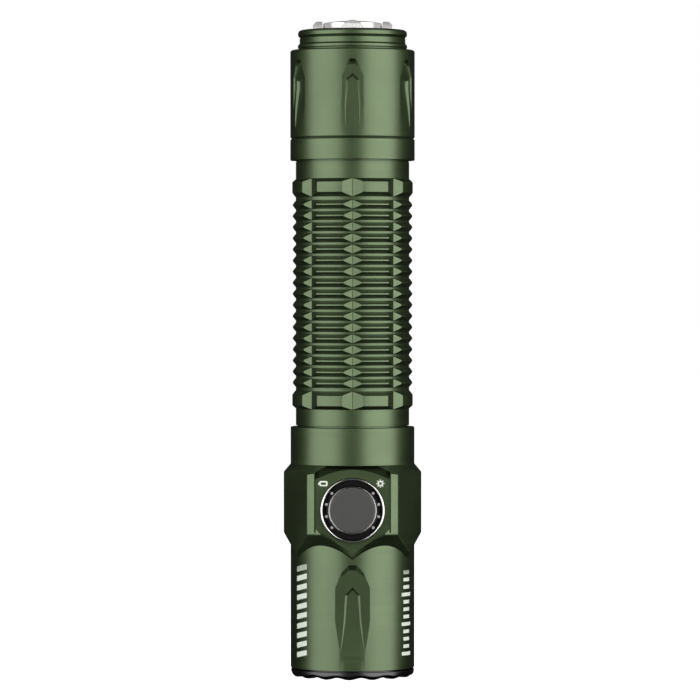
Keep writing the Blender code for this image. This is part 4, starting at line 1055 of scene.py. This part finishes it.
class FLASHLIGHT_OT_marks(bpy.types.Operator):
    """Print the battery and brightness symbols and plain bar marks on the barrel"""

    bl_idname = "flashlight.marks"
    bl_label = "Printed Marks"

    def execute(self, context):
        head = context.scene.flashlight_head
        ink = printed_ink()
        floor = -head.recess_floor - INK_LIFT
        over_switch = SWITCH_Z + 5.55 * MM
        battery = bmesh.new()
        ring_face(battery, rounded_box(0.86 * MM, 0.55 * MM, 0.32 * MM),
                  rounded_box(0.55 * MM, 0.24 * MM, 0.12 * MM))
        bar(battery, 0.2 * MM, 0.5 * MM, -0.98 * MM)
        seat_mark(battery, -6.05 * MM, over_switch, floor)
        flat_mark("battery_symbol", battery, ink)
        sun = bmesh.new()
        ring_face(sun, circle(0.56 * MM), circle(0.30 * MM))
        rays = 8
        for index in range(rays):
            ray = bar(sun, 0.32 * MM, 0.2 * MM, 0.70 * MM)
            turn = Matrix.Rotation(math.tau * index / rays, 3, "Z")
            bmesh.ops.rotate(sun, cent=(0, 0, 0), matrix=turn, verts=ray)
        seat_mark(sun, 5.8 * MM, over_switch, floor)
        flat_mark("sun_symbol", sun, ink)
        self.barrel_bars(head, ink)
        return {"FINISHED"}

    def barrel_bars(self, head, ink):
        """Two plain columns of bars, which stand where a maker would print a name."""
        radius = head.barrel_r + INK_LIFT
        foot = 5.2 * MM
        wide, narrow = 3.6 * MM, 2.4 * MM
        left_pitch, right_pitch = 2.0 * MM, 1.55 * MM
        left = bmesh.new()
        for index in range(10):
            height = foot + left_pitch * index
            wrapped_bar(left, FRONT - math.radians(55), height, wide, 1.1 * MM, 0.2, radius)
        flat_mark("left_bars", left, ink)
        right = bmesh.new()
        for index in range(12):
            width = narrow if index % 4 else wide
            height = foot + right_pitch * index
            wrapped_bar(right, FRONT + math.radians(60), height, width, 0.75 * MM, 0, radius)
        flat_mark("right_bars", right, ink)


class FLASHLIGHT_OT_inner_finishes(bpy.types.Operator):
    """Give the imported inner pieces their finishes"""

    bl_idname = "flashlight.inner_finishes"
    bl_label = "Inner Finishes"

    def execute(self, context):
        tones = context.scene.flashlight_finish
        finishes = {
            "black_nbr": moulded("moulded_nitrile", tones.rubber, 0.45, 0.6, 0.1),
            "white_nylon": moulded("white_nylon", linear("#D8D8D4"), 0.4, 0.55, 0.15),
            "green_fibreglass": moulded("solder_masked_board", tones.board, 0.3, 0.45, 0.4),
            "gold_plated_brass": gold_plate(),
            "brushed_steel": turned_steel(),
            "nickel_plate": turned_steel(),
            "shrink_wrap": moulded("printed_shrink_wrap", linear("#2A2C30"), 0.25, 0.35, 1.2),
        }
        slots = {part["node"]: part["material_slot"] for part in frame["record"]["subparts"]}
        for name, obj in frame["nodes"].items():
            finish = finishes.get(slots[name])
            if finish:
                obj.data.materials.clear()
                obj.data.materials.append(finish)
        return {"FINISHED"}


# ---------------------------------------------------------------- studio


def area_light(name, place, target, width, height, power):
    data = bpy.data.lights.new(name, "AREA")
    data.shape = "RECTANGLE"
    data.size = width
    data.size_y = height
    data.energy = power
    light = bpy.data.objects.new(name, data)
    bpy.context.scene.collection.objects.link(light)
    light.location = place
    light.rotation_euler = (Vector(target) - Vector(place)).to_track_quat("-Z", "Y").to_euler()
    return light


class FLASHLIGHT_OT_studio(bpy.types.Operator):
    """Set the floor, world, softboxes, cards and camera"""

    bl_idname = "flashlight.studio"
    bl_label = "Studio"

    def execute(self, context):
        studio = context.scene.flashlight_studio
        scene = context.scene
        scene.view_settings.view_transform = "Standard"
        world = bpy.data.worlds.new("studio")
        world.use_nodes = True
        scene.world = world
        tree = world.node_tree
        dim = tree.nodes["Background"]
        dim.inputs["Color"].default_value = (0.02, 0.02, 0.02, 1)
        white = add_node(tree, "ShaderNodeBackground", inputs={"Color": (1, 1, 1, 1), "Strength": 1.0})
        path = add_node(tree, "ShaderNodeLightPath")
        mixed = add_node(tree, "ShaderNodeMixShader", links={0: path.outputs["Is Camera Ray"],
                         1: dim.outputs[0], 2: white.outputs[0]})
        tree.links.new(mixed.outputs[0], tree.nodes["World Output"].inputs["Surface"])
        bm = bmesh.new()
        bmesh.ops.create_grid(bm, x_segments=1, y_segments=1, size=3.0)
        floor = finished("studio_floor", bm)
        paper, _tree, _shader = new_finish("floor_paper", {
            "Roughness": 0.9, "Base Color": (*studio.paper, 1),
            "Emission Color": (1, 1, 1, 1), "Emission Strength": 1.0})
        floor.data.materials.append(paper)
        floor.visible_glossy = False
        floor.visible_diffuse = False
        middle = (0, 0, CAD_BOUNDS[1][2] / 2)
        reach = 0.55
        spread_angle = math.radians(53)
        for side, label in ((-1, "left"), (1, "right")):
            angle = FRONT + side * spread_angle
            place = (reach * math.cos(angle), reach * math.sin(angle), middle[2] + studio.lift)
            power = studio.key * (studio.right_gain if side > 0 else 1)
            area_light("softbox_" + label, place, middle, 0.72, 0.8, power)
        tail_end = (0, 0, CAD_BOUNDS[1][2])
        card = area_light("button_card", (0, -0.5, 0.42), tail_end, 1.4, 0.6, studio.button)
        card.visible_camera = False
        area_light("front_card", (0, -1.2, middle[2]), middle, 0.35, 0.8, studio.front)
        card.light_linking.receiver_collection = button_lit()
        data = bpy.data.cameras.new("camera")
        data.lens = studio.lens
        data.clip_end = 20
        camera = bpy.data.objects.new("camera", data)
        scene.collection.objects.link(camera)
        camera.location = (studio.offset, -studio.distance, studio.height)
        look = Vector((studio.offset, 0, studio.aim)) - camera.location
        camera.rotation_euler = look.to_track_quat("-Z", "Y").to_euler()
        scene.camera = camera
        return {"FINISHED"}


class FLASHLIGHT_PT_panel(bpy.types.Panel):
    """Lists the flashlight's pieces and their settings"""

    bl_idname = "FLASHLIGHT_PT_panel"
    bl_label = "Flashlight"
    bl_space_type = "VIEW_3D"
    bl_region_type = "UI"
    bl_category = "Flashlight"

    def draw(self, context):
        for operator in OPERATORS:
            self.layout.operator(operator.bl_idname)
        for group in GROUPS:
            box = self.layout.box()
            settings = getattr(context.scene, group)
            for name in settings.__annotations__:
                box.prop(settings, name)


OPERATORS = (
    FLASHLIGHT_OT_studio, FLASHLIGHT_OT_head, FLASHLIGHT_OT_bezel, FLASHLIGHT_OT_optics,
    FLASHLIGHT_OT_switch, FLASHLIGHT_OT_tube, FLASHLIGHT_OT_tail_cap, FLASHLIGHT_OT_tail_button,
    FLASHLIGHT_OT_marks, FLASHLIGHT_OT_inner_finishes,
)
GROUPS = {
    "flashlight_finish": FinishSettings, "flashlight_head": HeadSettings, "flashlight_grip": GripSettings,
    "flashlight_tail": TailSettings, "flashlight_studio": StudioSettings,
}


def register():
    for group, settings in GROUPS.items():
        bpy.utils.register_class(settings)
        setattr(bpy.types.Scene, group, PointerProperty(type=settings))
    for operator in OPERATORS:
        bpy.utils.register_class(operator)
    bpy.utils.register_class(FLASHLIGHT_PT_panel)


def unregister():
    bpy.utils.unregister_class(FLASHLIGHT_PT_panel)
    for operator in reversed(OPERATORS):
        bpy.utils.unregister_class(operator)
    for group, settings in GROUPS.items():
        delattr(bpy.types.Scene, group)
        bpy.utils.unregister_class(settings)


def main():
    register()
    for operator in OPERATORS:
        group, name = operator.bl_idname.split(".")
        getattr(getattr(bpy.ops, group), name)()


if __name__ == "__main__":
    main()
